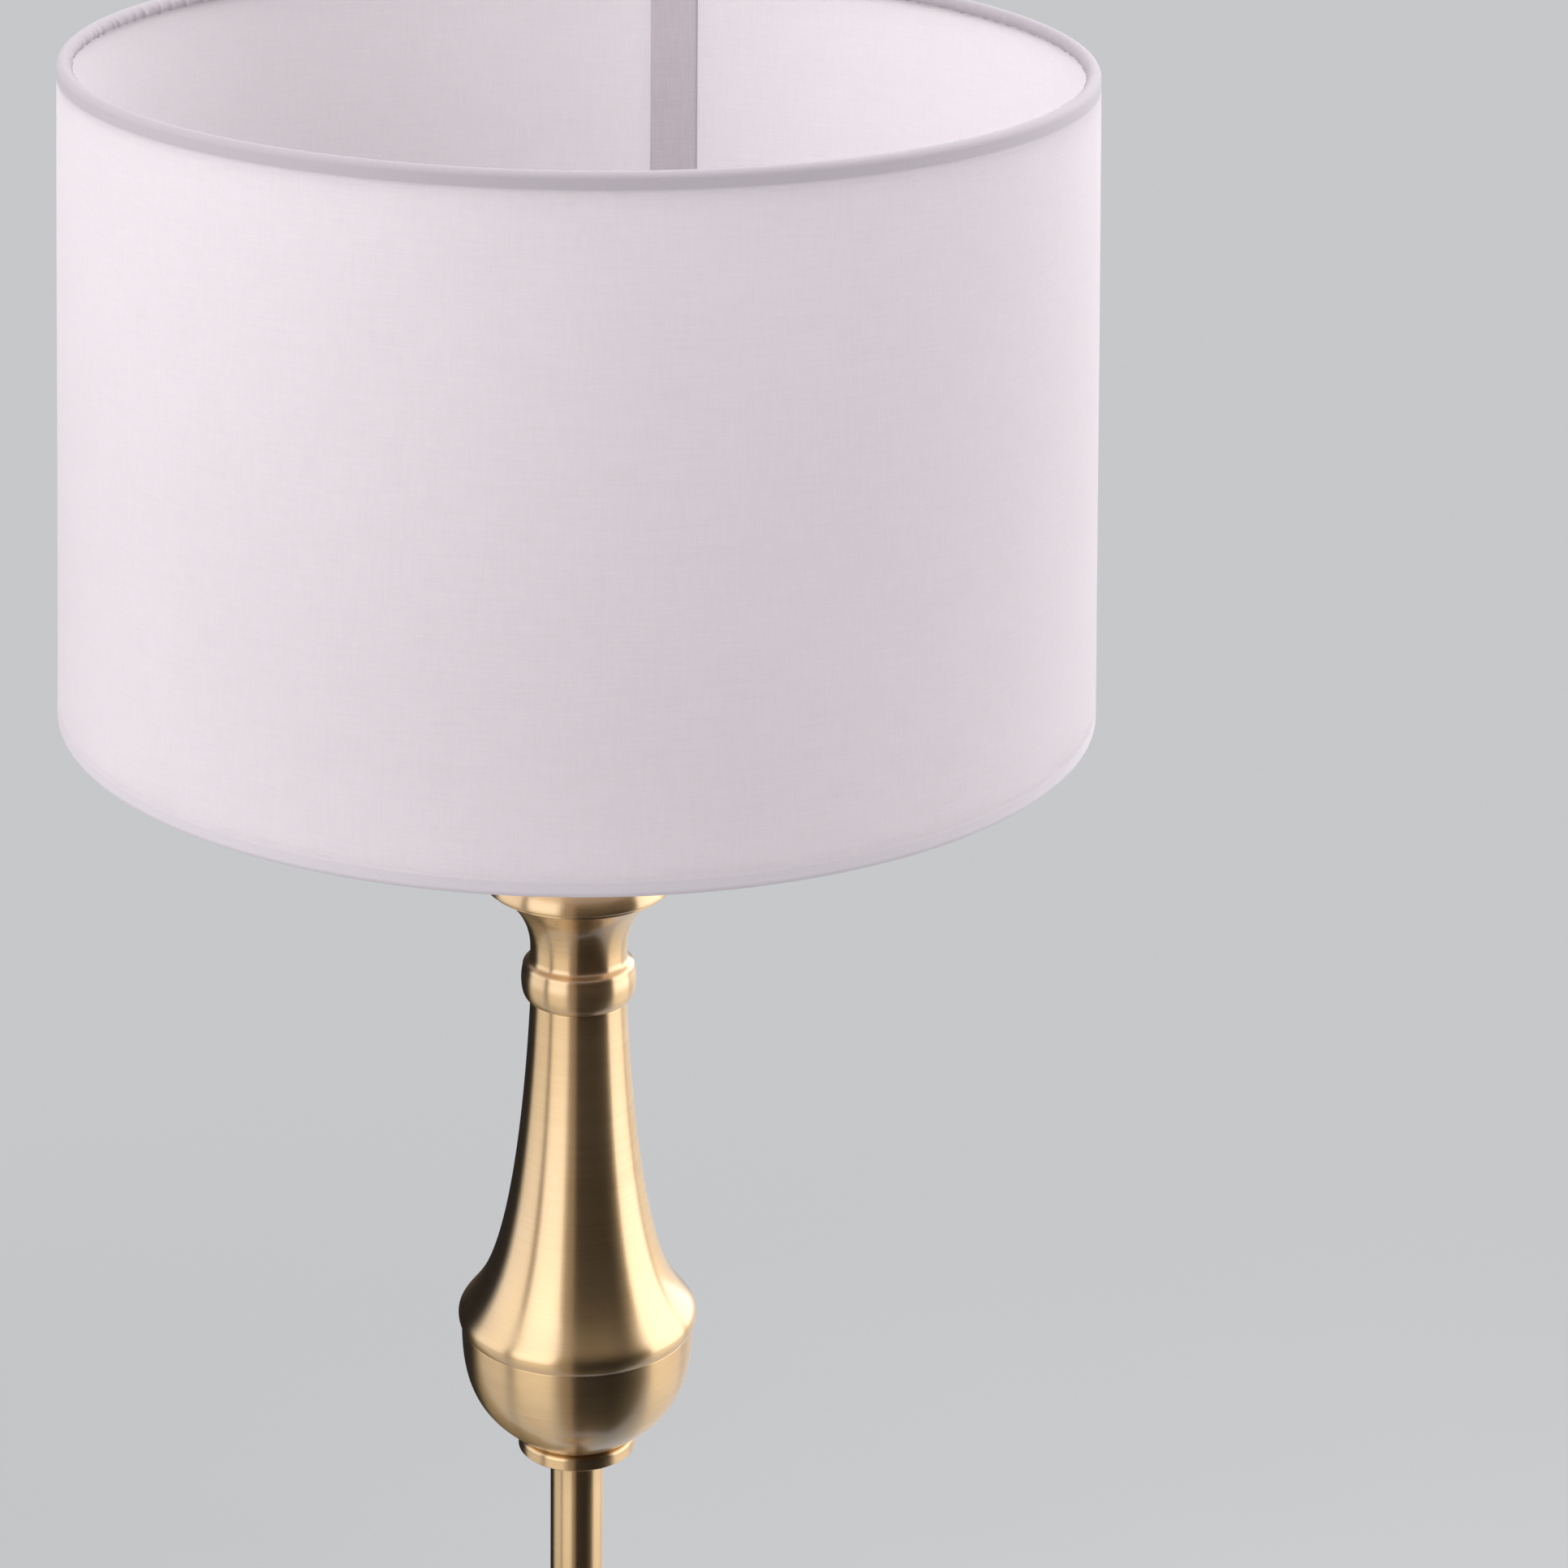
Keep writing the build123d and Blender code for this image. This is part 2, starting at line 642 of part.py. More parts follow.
with BuildPart() as switch_block:
    # moulded block with the channel that guides the push bar
    with BuildSketch(Plane.XY.offset(block_foot)):
        Circle(inner_holder_radius - slip)
    extrude(amount=holder_joint - holder_lap - slip - block_foot)
    with BuildSketch(Plane.XY.offset(holder_joint - holder_lap - slip)):
        Circle(inner_holder_radius - holder_wall - 2 * slip)
    extrude(amount=block_top - (holder_joint - holder_lap - slip))
    with BuildSketch(Plane.YZ):
        with Locations((0, bar_height)):
            Circle(bar_radius + running)
    extrude(amount=holder_radius, both=True, mode=Mode.SUBTRACT)
save(switch_block, "switch_block")

# the bar rests pushed towards -X and travels towards +X
bar_left = -(holder_radius + bar_reach + bar_travel)
bar_right = holder_radius + bar_reach

with BuildPart() as push_bar:
    with BuildSketch(Plane.YZ.offset(bar_left)):
        with Locations((0, bar_height)):
            Circle(bar_radius)
    extrude(amount=bar_right - bar_left)
save(push_bar, "push_bar")

with BuildPart() as push_bar_caps:
    for bar_end, outward in ((bar_left, -1), (bar_right, 1)):
        # a domed cap pressed over each end of the bar
        inner_face = bar_end - outward * (bar_cap_length - bar_cap_end)
        with BuildSketch(Plane.YZ.offset(inner_face)):
            with Locations((0, bar_height)):
                Circle(bar_cap_radius)
        extrude(amount=outward * bar_cap_length)
        with BuildSketch(Plane.YZ.offset(inner_face)):
            with Locations((0, bar_height)):
                Circle(bar_radius + glue_line)
        extrude(amount=outward * (bar_cap_length - bar_cap_end + glue_line), mode=Mode.SUBTRACT)
    fillet(push_bar_caps.edges().group_by(Axis.X)[0] + push_bar_caps.edges().group_by(Axis.X)[-1],
           radius=bar_cap_round)
save(push_bar_caps, "push_bar_caps")

with BuildPart() as holder_body:
    # drawn sleeve: set in at the foot to enter the dome, flange for the shade, threaded skirt above it
    with BuildSketch(half_section(0)):
        with BuildLine():
            Polyline((inner_holder_radius - slip, holder_joint - holder_lap),
                     (inner_holder_radius - slip, holder_joint),
                     (holder_radius, holder_joint),
                     (holder_radius, shade_seat - flange_thickness),
                     (flange_radius, shade_seat - flange_thickness),
                     (flange_radius, shade_seat),
                     (skirt_radius, shade_seat),
                     (skirt_radius, holder_mouth),
                     (skirt_radius - holder_wall, holder_mouth),
                     (skirt_radius - holder_wall, holder_joint + holder_wall),
                     (inner_holder_radius - holder_wall - slip, holder_joint + holder_wall),
                     (inner_holder_radius - holder_wall - slip, holder_joint - holder_lap), close=True)
        make_face()
    revolve(axis=Axis.Z)
save(holder_body, "holder_body")

contact_height = holder_mouth - bulb_cap_height - bulb_insulator_height - bulb_button_height
core_top = contact_height - bulb_contact_gap - tongue_rise
core_radius = skirt_radius - holder_wall - slip

with BuildPart() as holder_core:
    # ceramic core: a floor under the contact and a skirt that stands on the switch block
    foot_of_core = holder_joint + holder_wall
    with BuildSketch(half_section(0)):
        with BuildLine():
            Polyline((0, core_top), (core_radius, core_top), (core_radius, foot_of_core + slip),
                     (inner_holder_radius - holder_wall - 2 * slip, foot_of_core + slip),
                     (inner_holder_radius - holder_wall - 2 * slip, block_top),
                     (core_radius - core_skirt_wall, block_top),
                     (core_radius - core_skirt_wall, core_top - core_floor),
                     (0, core_top - core_floor), close=True)
        make_face()
    revolve(axis=Axis.Z)
save(holder_core, "holder_core")

screw_shell = pipe(screw_shell_radius + screw_shell_wall, screw_shell_radius, core_top,
                   holder_mouth - screw_shell_setback)
save(screw_shell, "screw_shell")

with BuildPart() as contact_tongue:
    # bent spring strip: flat tail on the core, rising to the middle of the holder
    tail_height = core_top + tongue_thickness / 2
    tip_height = core_top + tongue_rise - tongue_thickness / 2
    with BuildSketch(Plane.XZ):
        with BuildLine():
            Polyline((tongue_tail_gap - screw_shell_radius, tail_height), (tongue_tail_end, tail_height),
                     (tongue_bend, tip_height), (tongue_tip, tip_height))
        trace(line_width=tongue_thickness)
    extrude(amount=tongue_width / 2, both=True)
save(contact_tongue, "contact_tongue")

ring_bottom = shade_seat + fitter_thickness + 2 * seat_gap

with BuildPart() as shade_ring:
    with BuildSketch(half_section(ring_bottom)):
        with BuildLine():
            Polyline((skirt_radius + slip, 0), (shade_ring_radius, 0),
                     (shade_ring_radius, shade_ring_height - shade_ring_bevel),
                     (shade_ring_radius - shade_ring_bevel, shade_ring_height),
                     (skirt_radius + slip, shade_ring_height), close=True)
        make_face()
    revolve(axis=Axis.Z)
save(shade_ring, "shade_ring")

# ---------------------------------------------------------------------------------------------------
# Bulb
# ---------------------------------------------------------------------------------------------------

insulator_foot = contact_height + bulb_button_height
bulb_cap_foot = insulator_foot + bulb_insulator_height
bulb_cap_top = bulb_cap_foot + bulb_cap_height

with BuildPart() as bulb_contact:
    with BuildSketch(half_section(contact_height)):
        with BuildLine():
            button = bulb_button_height
            Polyline((0, 0), (bulb_button_radius - 1, 0), (bulb_button_radius, button),
                     (bulb_button_radius + 1, button),
                     (bulb_cap_radius - bulb_cap_taper, button + bulb_insulator_height),
                     (0, button + bulb_insulator_height), close=True)
        make_face()
    revolve(axis=Axis.Z)
save(bulb_contact, "bulb_contact")

with BuildPart() as bulb_cap:
    with BuildSketch(half_section(bulb_cap_foot)):
        with BuildLine():
            Polyline((0, glue_line), (bulb_cap_radius - bulb_cap_taper, glue_line),
                     (bulb_cap_radius, bulb_cap_floor - bulb_cap_wall), (bulb_cap_radius, bulb_cap_height),
                     (bulb_cap_radius - bulb_cap_wall, bulb_cap_height),
                     (bulb_cap_radius - bulb_cap_wall, bulb_cap_floor), (0, bulb_cap_floor), close=True)
        make_face()
    revolve(axis=Axis.Z)
save(bulb_cap, "bulb_cap")

with BuildPart() as bulb_glass:
    # blown envelope: straight neck cemented in the cap, swelling to a round globe
    globe_centre = contact_height + bulb_length - bulb_radius
    neck_foot = bulb_cap_top - bulb_neck_depth
    neck_head = bulb_cap_top + bulb_neck_straight
    for inset, mode in ((0, Mode.ADD), (bulb_wall, Mode.SUBTRACT)):
        throat = bulb_neck_radius - inset
        belly = bulb_radius - inset
        with BuildSketch(half_section(0)):
            with BuildLine():
                Polyline((0, neck_foot), (throat, neck_foot), (throat, neck_head))
                Bezier((throat, neck_head),
                       (throat, bulb_cap_top + 0.45 * (globe_centre - bulb_cap_top)),
                       (belly, globe_centre - 0.5 * bulb_radius), (belly, globe_centre))
                crown = JernArc((belly, globe_centre), (0, 1), belly, 90)
                Line(crown @ 1, (0, neck_foot))
            make_face()
        revolve(axis=Axis.Z, mode=mode)
save(bulb_glass, "bulb_glass")

# ---------------------------------------------------------------------------------------------------
# Shade
# ---------------------------------------------------------------------------------------------------

roll_radius = ring_wire_radius + glue_line + roll_wall
shade_slope = (shade_bottom_radius - shade_top_radius) / shade_height
ring_levels = (roll_radius, shade_height - roll_radius)


def shade_radius(height):
    """Outer radius of the drum at a height above its lower edge."""
    return shade_bottom_radius - shade_slope * height


def skin(inward, thickness, bottom, top):
    """Corners of a straight layer of the drum's wall, set in from its outer face."""
    return ((shade_radius(bottom) - inward, bottom), (shade_radius(top) - inward, top),
            (shade_radius(top) - inward - thickness, top),
            (shade_radius(bottom) - inward - thickness, bottom))


ring_places = [(shade_radius(level) - roll_radius, level) for level in ring_levels]
layer_bottom = 2 * roll_radius + side_gap
layer_top = shade_height - layer_bottom

for ring_name, (ring_centre, ring_level) in zip(("bottom_ring", "top_ring"), ring_places):
    with BuildPart() as ring:
        with BuildSketch(half_section(shade_bottom)):
            with Locations((ring_centre, ring_level)):
                Circle(ring_wire_radius)
        revolve(axis=Axis.Z)
    save(ring, ring_name)

# arms run from under the fitter out to the bottom ring
arm_inner = flange_radius + side_gap
arm_outer = ring_places[0][0] - ring_wire_radius - glue_line
arm_inner_height = shade_seat + seat_gap - arm_radius - glue_line
arm_outer_height = shade_bottom + roll_radius


def arm_plane(azimuth):
    """Plane across an arm at its inner end, facing along the arm to the bottom ring."""
    start = Vector(arm_inner, 0, arm_inner_height).rotate(Axis.Z, azimuth)
    end = Vector(arm_outer, 0, arm_outer_height).rotate(Axis.Z, azimuth)
    return Plane(origin=start, z_dir=end - start)


arm_length = sqrt((arm_outer - arm_inner) ** 2 + (arm_outer_height - arm_inner_height) ** 2)

for arm_number, azimuth in enumerate(arm_azimuths, start=1):
    with BuildPart() as arm:
        with BuildSketch(arm_plane(azimuth)):
            Circle(arm_radius)
        extrude(amount=arm_length)
    save(arm, f"spider_arm_{arm_number}")

fitter_ring = pipe(fitter_outer_radius, fitter_hole_radius, shade_seat + seat_gap,
                   shade_seat + seat_gap + fitter_thickness)
save(fitter_ring, "fitter_ring")

with BuildPart() as shade_cover:
    with BuildSketch(half_section(shade_bottom)):
        Polygon(*skin(0, cover_thickness, *ring_levels), align=None)
        with Locations(*ring_places):
            Circle(roll_radius)
        with Locations(*ring_places):
            Circle(ring_wire_radius + glue_line, mode=Mode.SUBTRACT)
    revolve(axis=Axis.Z)
    # slits in the bottom roll where the arms reach the ring
    for azimuth in arm_azimuths:
        with BuildSketch(arm_plane(azimuth)):
            Circle(arm_radius + glue_line)
        extrude(amount=arm_length, mode=Mode.SUBTRACT)
save(shade_cover, "shade_cover")

with BuildPart() as shade_liner:
    with BuildSketch(half_section(shade_bottom)):
        Polygon(*skin(cover_thickness + glue_line, liner_thickness, layer_bottom, layer_top), align=None)
    revolve(axis=Axis.Z)
save(shade_liner, "shade_liner")

with BuildPart() as seam_overlap:
    # where the two ends of the lining lap at the back
    lining_face = cover_thickness + liner_thickness + 2 * glue_line
    seam_turn = degrees(seam_width / shade_bottom_radius)
    seam_start = Plane.XY.rotated((0, 0, seam_azimuth - seam_turn / 2))
    seam_plane = Plane(origin=(0, 0, shade_bottom), x_dir=seam_start.x_dir, z_dir=-seam_start.y_dir)
    with BuildSketch(seam_plane):
        Polygon(*skin(lining_face, seam_thickness, layer_bottom, layer_top), align=None)
    revolve(axis=Axis.Z, revolution_arc=seam_turn)
save(seam_overlap, "seam_overlap")
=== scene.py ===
import random
from math import acos, asin, ceil, cos, degrees, pi, radians, sin, sqrt, tan

import bmesh
import bpy
from mathutils import Matrix, Vector


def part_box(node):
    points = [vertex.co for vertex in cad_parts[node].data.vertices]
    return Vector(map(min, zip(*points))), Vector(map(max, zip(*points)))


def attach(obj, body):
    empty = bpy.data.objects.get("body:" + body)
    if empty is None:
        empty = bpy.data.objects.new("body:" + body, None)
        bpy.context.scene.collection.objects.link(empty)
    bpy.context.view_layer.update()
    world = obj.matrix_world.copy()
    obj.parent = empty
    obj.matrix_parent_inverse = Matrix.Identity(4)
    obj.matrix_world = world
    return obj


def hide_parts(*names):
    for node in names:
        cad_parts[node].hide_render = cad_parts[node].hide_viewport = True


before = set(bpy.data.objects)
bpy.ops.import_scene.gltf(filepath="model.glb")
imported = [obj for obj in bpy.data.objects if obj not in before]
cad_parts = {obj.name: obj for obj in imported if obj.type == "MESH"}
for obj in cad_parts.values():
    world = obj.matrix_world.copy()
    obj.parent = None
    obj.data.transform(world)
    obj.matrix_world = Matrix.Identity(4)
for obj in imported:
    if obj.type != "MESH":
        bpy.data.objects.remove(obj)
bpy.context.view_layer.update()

# ----------------------------------------------------------------------------
# Base cover: one sheet of brass spun over a former, with a straight edge, a rounded shoulder, a small
# step and a cove up to the boss. It is brushed on the lathe, toned down to an antique colour and
# lacquered, like every brass piece of the column.
# ----------------------------------------------------------------------------


class Wire:
    """One socket of a finish. Arithmetic on it adds the Math nodes that work it out."""

    def __init__(self, finish, socket):
        self.finish = finish
        self.socket = socket

    def math(self, operation, *terms):
        return self.finish.add("ShaderNodeMath", {"operation": operation}, dict(enumerate(terms)))

    def __add__(self, other):
        return self.math("ADD", self, other)

    def __radd__(self, other):
        return self.math("ADD", other, self)

    def __sub__(self, other):
        return self.math("SUBTRACT", self, other)

    def __rsub__(self, other):
        return self.math("SUBTRACT", other, self)

    def __mul__(self, other):
        return self.math("MULTIPLY", self, other)

    def __rmul__(self, other):
        return self.math("MULTIPLY", other, self)

    def __pow__(self, other):
        return self.math("POWER", self, other)

    def __abs__(self):
        return self.math("ABSOLUTE", self)

    def sine(self):
        return self.math("SINE", self)

    def held(self, low=0.0, high=1.0):
        """The value, kept between two limits."""
        return self.math("MAXIMUM", self.math("MINIMUM", self, high), low)


class Finish:
    """A material in the making, with its nodes and the place of a point on the lamp."""

    # a Mix node's colour sockets share their names with its number sockets, so they go by their place
    MIX_SHARE, MIX_FIRST, MIX_SECOND, MIX_RESULT = 0, 6, 7, 2

    def __init__(self, name):
        self.material = bpy.data.materials.new(name)
        self.material.use_nodes = True
        self.tree = self.material.node_tree
        self.tree.nodes.clear()
        self.place = self.add("ShaderNodeTexCoord", output="Object")
        parts = self.add("ShaderNodeSeparateXYZ", {}, {0: self.place}).socket.node
        self.x, self.y, self.z = (Wire(self, parts.outputs[axis]) for axis in "XYZ")

    def add(self, kind, settings=None, sockets=None, output=0):
        """A node of that type, with its settings made first, then its sockets set or linked."""
        node = self.tree.nodes.new(kind)
        for name, value in (settings or {}).items():
            setattr(node, name, value)
        for key, value in (sockets or {}).items():
            if isinstance(value, Wire):
                self.tree.links.new(value.socket, node.inputs[key])
            else:
                node.inputs[key].default_value = value
        return Wire(self, node.outputs[output]) if node.outputs else None

    def grain(self, across, along, up, detail, rough):
        """Noise over the lamp's own place, with its fineness in each direction, per metre."""
        where = self.add("ShaderNodeCombineXYZ", {}, {0: across, 1: along, 2: up})
        return self.add("ShaderNodeTexNoise", {"noise_dimensions": "3D"},
                        {"Vector": where, "Scale": 1.0, "Detail": detail, "Roughness": rough})

    def speckle(self, fineness, detail, rough):
        """Even noise with no direction."""
        return self.grain(self.x * fineness, self.y * fineness, self.z * fineness, detail, rough)

    def blend(self, share, first, second):
        """First colour where share is 0, second where it is 1."""
        sockets = {self.MIX_SHARE: share, self.MIX_FIRST: first, self.MIX_SECOND: second}
        return self.add("ShaderNodeMix", {"data_type": "RGBA"}, sockets, output=self.MIX_RESULT)

    def bump(self, height, depth, strength):
        """A normal that follows a height, with its depth in metres."""
        return self.add("ShaderNodeBump", {}, {"Strength": strength, "Distance": depth, "Height": height})

    def surface(self, **sockets):
        """The finished surface: Base_Color=... sets the socket Base Color, and so on."""
        named = {key.replace("_", " "): value for key, value in sockets.items()}
        shader = self.add("ShaderNodeBsdfPrincipled", {}, named)
        self.add("ShaderNodeOutputMaterial", {}, {"Surface": shader})
        return self.material


def shade_of(red, green, blue):
    """A colour written from 0 to 255, as the linear value that a shader takes (the sRGB curve)."""
    linear = []
    for part in (red, green, blue):
        part = part / 255
        linear.append(part / 12.92 if part <= 0.04045 else ((part + 0.055) / 1.055) ** 2.4)
    return (*linear, 1.0)


def brushed_metal(name, light, dark, roughness, depth):
    """Metal brushed while it turned: fine lines run round the axis, over a slow change of tone."""
    along, across = 18, 4200     # fineness of the lines per metre, round the axis and across them
    finish = Finish(name)
    x, y, z = finish.x, finish.y, finish.z
    radius = (x * x + y * y) ** 0.5
    # upright faces take their lines from the height and level ones from the radius, in another place
    lines_up = finish.grain(x * along, y * along, z * across, 2.0, 0.6)
    lines_out = finish.grain(x * along, y * along, radius * across + 50, 2.0, 0.6)
    lines = ((lines_up + lines_out) * 1.6 - 1.1).held()
    tone = finish.speckle(14, 3.0, 0.5)
    share = (lines * 0.25 + tone * 1.1 - 0.2).held()
    return finish.surface(
        Base_Color=finish.blend(share, shade_of(*dark), shade_of(*light)),
        Metallic=1.0,
        Roughness=(roughness - 0.05 + lines * 0.04 + tone * 0.06).held(0.05, 0.9),
        Anisotropic=1.0,
        Anisotropic_Rotation=0.25,
        Coat_Weight=1.0,
        Coat_Roughness=0.2,
        Coat_IOR=1.9,
        Normal=finish.bump(lines, depth, 0.15),
    )


def bezier(start, first, second, end, steps):
    """Points of one curve, without its start."""
    points = []
    for step in range(1, steps + 1):
        t = step / steps
        u = 1 - t
        points.append(tuple(u**3 * a + 3 * u * u * t * b + 3 * u * t * t * c + t**3 * d
                            for a, b, c, d in zip(start, first, second, end)))
    return points


def arc(centre, radius, start, end, steps):
    """Points on a circle from one angle to another, in degrees, both ends included."""
    angles = [radians(start + (end - start) * step / steps) for step in range(steps + 1)]
    return [(centre[0] + radius * cos(a), centre[1] + radius * sin(a)) for a in angles]


def eased(outline, radius, steps=5):
    """The outline with each corner taken off to a small radius, as polishing leaves it."""
    slightest, sharpest = radians(14), 2.6     # a smaller turn is left alone, a larger one counts as this
    most_of_side = 0.45
    result = []
    count = len(outline)
    for index, here in enumerate(outline):
        before = Vector(outline[index - 1]) - Vector(here)
        after = Vector(outline[(index + 1) % count]) - Vector(here)
        turn = pi - before.angle(after, pi)
        if turn < slightest:
            result.append(here)
            continue
        reach = min(radius * tan(min(turn, sharpest) / 2), most_of_side * before.length,
                    most_of_side * after.length)
        first = Vector(here) + before.normalized() * reach
        last = Vector(here) + after.normalized() * reach
        for step in range(steps + 1):
            t = step / steps
            point = (1 - t) ** 2 * first + 2 * t * (1 - t) * Vector(here) + t * t * last
            result.append(tuple(point))
    return result


scene = bpy.context.scene
mm = 0.001


def place(name, points, faces, material, welded=True):
    """Put a mesh on the lamp as a smooth piece with its finish."""
    mesh = bpy.data.meshes.new(name)
    mesh.from_pydata(points, [], faces)
    shape = bmesh.new()
    shape.from_mesh(mesh)
    if welded:
        bmesh.ops.remove_doubles(shape, verts=shape.verts, dist=0.002 * mm)
        bmesh.ops.recalc_face_normals(shape, faces=shape.faces)
    shape.to_mesh(mesh)
    shape.free()
    mesh.polygons.foreach_set("use_smooth", [True] * len(mesh.polygons))
    mesh.materials.append(material)
    piece = bpy.data.objects.new(name, mesh)
    scene.collection.objects.link(piece)
    normals = piece.modifiers.new("even_normals", "WEIGHTED_NORMAL")
    normals.weight = 50
    return piece


def swept(outline, datum, around, closed, shape):
    """Points and faces of an outline swept round an axis. shape may move each point, in mm."""
    count = len(outline)
    points = []
    for step in range(around):
        angle = 2 * pi * step / around
        for radius, height in outline:
            if shape:
                radius, height = shape(angle, radius, height)
            points.append((radius * cos(angle) * mm, radius * sin(angle) * mm, datum + height * mm))
    faces = []
    for step in range(around):
        here, there = step * count, (step + 1) % around * count
        for index in range(count if closed else count - 1):
            ahead = (index + 1) % count
            faces.append((here + index, there + index, there + ahead, here + ahead))
    return points, faces


def turned(name, outline, datum, material, around, closed=True, shape=None):
    """A piece turned round the lamp's axis."""
    return place(name, *swept(outline, datum, around, closed, shape), material)


antique_brass = brushed_metal("antique_brass", (228, 196, 146), (198, 158, 102), 0.345, 0.02 * mm)

ROD_HOLE = 5.1                # every piece that the rod or a nipple goes through
COVER_WALL = 1.2
COVER_RIM, COVER_STEP, COVER_BOSS = 140, 116, 34
RIM_SIDE, RIM_ROUND = 12, 7
STEP_FOOT, STEP_TOP = 20.5, 23.5
BOSS_TALL = 41
COVE_FOOT_PULL = (30, 3)      # in from the step, and up
COVE_HEAD_PULL = (18, 10)     # out from the boss, and down


def base_profile(inset):
    """Half section of the base cover from its foot to the hole in the boss, moved in by inset."""
    rim, step, boss = COVER_RIM - inset, COVER_STEP - inset, COVER_BOSS - inset
    points = [(rim, 0), (rim, RIM_SIDE)]
    points += arc((rim - RIM_ROUND, RIM_SIDE), RIM_ROUND, 0, 90, 14)
    points += [(step, STEP_FOOT), (step, STEP_TOP)]
    points += bezier((step, STEP_TOP), (step - COVE_FOOT_PULL[0], STEP_TOP + COVE_FOOT_PULL[1]),
                     (boss + COVE_HEAD_PULL[0], BOSS_TALL - COVE_HEAD_PULL[1]), (boss, BOSS_TALL), 40)
    return points + [(ROD_HOLE, BOSS_TALL)]


inner_cover = [(radius, height - COVER_WALL) for radius, height in base_profile(COVER_WALL)]
inner_cover[0] = (inner_cover[0][0], 0)
base_cover = turned("base_cover_spun", eased(base_profile(0) + inner_cover[::-1], 0.9, 6),
                    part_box("base_cover")[0].z, antique_brass, around=288)
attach(base_cover, "lamp")
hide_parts("base_cover")

# ----------------------------------------------------------------------------
# Foot of the column: a turned flange with a bead and a cove, screwed down on the boss, with the socket
# for the tube in its top.
# ----------------------------------------------------------------------------

SOCKET = 11.1                 # bore that takes the end of a tube
FLANGE, FLANGE_TALL, FLANGE_ROUND = 30, 4, 2
BEAD, BEAD_TOP = 25, 10
BEAD_BULGE, BEAD_BULGE_TURN = 3.09, 76
COLLAR_NECK, COLLAR_NECK_TOP = 13.5, 29
COLLAR_LIP, COLLAR_LIP_EDGE = 15.1, 1
COLLAR_TALL, SOCKET_FLOOR = 34, 22
collar_profile = [(ROD_HOLE, 0), (FLANGE, 0), (FLANGE, FLANGE_ROUND)]
collar_profile += arc((FLANGE - FLANGE_ROUND, FLANGE_ROUND), FLANGE_ROUND, 0, 90, 6)[1:]
collar_profile += [(BEAD, FLANGE_TALL)]
collar_profile += arc((BEAD - 0.75, (FLANGE_TALL + BEAD_TOP) / 2), BEAD_BULGE, -BEAD_BULGE_TURN,
                      BEAD_BULGE_TURN, 12)
collar_profile += [(BEAD, BEAD_TOP)]
collar_profile += bezier((BEAD, BEAD_TOP), (16.1, 11), (13.1, 20), (COLLAR_NECK, COLLAR_NECK_TOP), 24)
collar_profile += [(COLLAR_LIP, COLLAR_NECK_TOP), (COLLAR_LIP, COLLAR_TALL - COLLAR_LIP_EDGE),
                   (COLLAR_LIP - COLLAR_LIP_EDGE, COLLAR_TALL), (SOCKET, COLLAR_TALL),
                   (SOCKET, SOCKET_FLOOR), (ROD_HOLE, SOCKET_FLOOR)]
base_collar = turned("base_collar_turned", eased(collar_profile, 0.5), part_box("base_collar")[0].z,
                     antique_brass, around=128)
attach(base_collar, "lamp")
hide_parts("base_collar")

# ----------------------------------------------------------------------------
# Column: two lengths of 22 mm brass tube and the turned coupler between them, with its raised bead
# over the joint. The ends of the tubes stand in sockets.
# ----------------------------------------------------------------------------

TUBE, TUBE_BORE = 11, 9.8
RINGS = 12
for tube in ("lower_tube", "upper_tube"):
    low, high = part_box(tube)
    length = (high.z - low.z) / mm
    levels = [length * step / RINGS for step in range(RINGS + 1)]
    wall = [(TUBE, level) for level in levels] + [(TUBE_BORE, level) for level in levels[::-1]]
    column = turned(tube + "_drawn", eased(wall, 0.3), low.z, antique_brass, around=96)
    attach(column, "lamp")
    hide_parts(tube)

COUPLER, COUPLER_LIP = 14, 12.3
HALF_WEB, HALF_TALL, TAPER = 3, 15, 3
BULGE, BULGE_TURN = 11.75, 25.2
half_coupler = [(ROD_HOLE, 0), (ROD_HOLE, HALF_WEB), (SOCKET, HALF_WEB), (SOCKET, HALF_TALL),
                (COUPLER_LIP, HALF_TALL), (COUPLER, HALF_TALL - TAPER), (COUPLER, 5.4)]
bulge = arc((COUPLER + 2 - BULGE, 0), BULGE, BULGE_TURN, -BULGE_TURN, 16)
coupler_profile = half_coupler + bulge + [(radius, -height) for radius, height in half_coupler[:0:-1]]
low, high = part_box("tube_coupler")
coupler = turned("tube_coupler_turned", eased(coupler_profile, 0.5), (low.z + high.z) / 2, antique_brass,
                 around=128)
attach(coupler, "lamp")
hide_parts("tube_coupler")

# ----------------------------------------------------------------------------
# Stem collar: the thick turned washer with a hub that carries the vase on the end of the tube.
# ----------------------------------------------------------------------------

STEM_TALL, STEM_SOCKET_TALL = 11.9, 9.4
WASHER, WASHER_FLAT, WASHER_SIDE = 24.3, 22.8, 10.3
HUB, HUB_TALL, HUB_EDGE = 14, 6, 1
stem_profile = [(ROD_HOLE, STEM_TALL), (WASHER_FLAT, STEM_TALL)]
stem_profile += bezier((WASHER_FLAT, STEM_TALL), (23.7, STEM_TALL), (WASHER, 11.2), (WASHER, WASHER_SIDE), 8)
stem_profile += [(WASHER, HUB_TALL + 0.5), (WASHER - 0.5, HUB_TALL), (HUB, HUB_TALL), (HUB, HUB_EDGE),
                 (HUB - HUB_EDGE, 0), (SOCKET, 0), (SOCKET, STEM_SOCKET_TALL), (ROD_HOLE, STEM_SOCKET_TALL)]
stem_collar = turned("stem_collar_turned", eased(stem_profile, 0.35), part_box("stem_collar")[0].z,
                     antique_brass, around=128)
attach(stem_collar, "lamp")
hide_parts("stem_collar")

